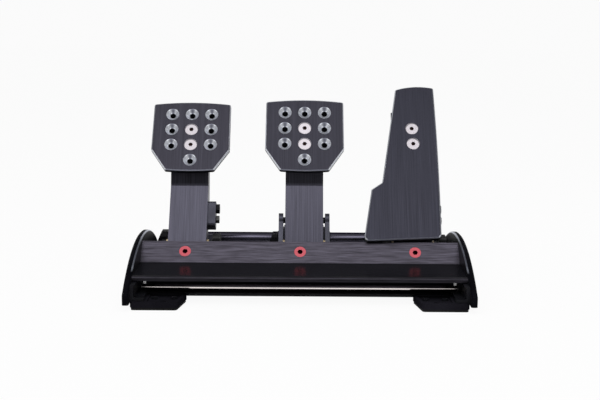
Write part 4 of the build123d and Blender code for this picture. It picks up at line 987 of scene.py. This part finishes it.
def make_stage():
    """A wide pale floor that curves up far behind the object."""
    start = FLOOR_REACH - FLOOR_CURVE
    section = [(-FLOOR_REACH, 0.0), (start, 0.0)]
    for step in range(1, FLOOR_STEPS + 1):
        angle = pi / 2 * step / FLOOR_STEPS
        section.append((start + FLOOR_CURVE * sin(angle), FLOOR_CURVE - FLOOR_CURVE * cos(angle)))
    build = bmesh.new()
    rows = [
        [build.verts.new((x, y, z)) for x in (-FLOOR_REACH, FLOOR_REACH)] for y, z in section
    ]
    for first, second in zip(rows, rows[1:]):
        build.faces.new((first[0], first[1], second[1], second[0]))
    floor = mesh_object("studio_floor", finished_mesh("studio_floor", build), floor_material())


def make_world():
    """Plain soft light, brighter above than at the horizon and weaker behind."""
    world = bpy.data.worlds.new("studio")
    bpy.context.scene.world = world
    world.use_nodes = True
    sky = Nodes(world.node_tree)
    background = sky.tree.nodes["Background"]
    place = sky.add("ShaderNodeTexCoord")
    split = sky.add("ShaderNodeSeparateXYZ")
    sky.join(place.outputs["Generated"], split.inputs[0])
    level = sky.ranged(split.outputs["Z"], *SKY_HEIGHTS, *SKY_LEVELS)
    share = sky.ranged(split.outputs["Y"], *SKY_BACKWARD, *SKY_SHARES)
    sky.join(level, background.inputs["Color"])
    sky.join(share, background.inputs["Strength"])


def make_lights():
    """Soft lamps above and in front and behind, and a low strip that the tie rod mirrors."""
    for name, (place, target, size, power) in LAMPS.items():
        data = bpy.data.lights.new(name, "AREA")
        data.shape = "RECTANGLE"
        data.size, data.size_y = size
        data.energy = power
        lamp = bpy.data.objects.new(name, data)
        lamp.location = place
        aim = Vector(target) - Vector(place)
        lamp.rotation_euler = aim.to_track_quat("-Z", "Y").to_euler()
        bpy.context.scene.collection.objects.link(lamp)


def make_camera():
    """The photograph's view."""
    data = bpy.data.cameras.new("camera")
    data.lens = CAMERA_LENS
    data.sensor_width = CAMERA_SENSOR
    data.shift_x = CAMERA_SHIFT_X
    data.clip_end = CAMERA_REACH
    camera = bpy.data.objects.new("camera", data)
    tilt = Matrix.Rotation(radians(90 - CAMERA_PITCH), 4, "X")
    roll = Matrix.Rotation(radians(CAMERA_ROLL), 4, "Z")
    camera.matrix_world = Matrix.Translation(CAMERA_PLACE) @ tilt @ roll
    bpy.context.scene.collection.objects.link(camera)
    bpy.context.scene.camera = camera


bpy.context.scene.view_settings.view_transform = "Standard"
materials = dress_frame()
make_spring("clutch", CLUTCH_WIRE, materials["black"])
make_spring("throttle", THROTTLE_WIRE, materials["black"])
make_brake_stack(materials["ring_rubber"], materials["steel"])
make_stage()
make_world()
make_lights()
make_camera()
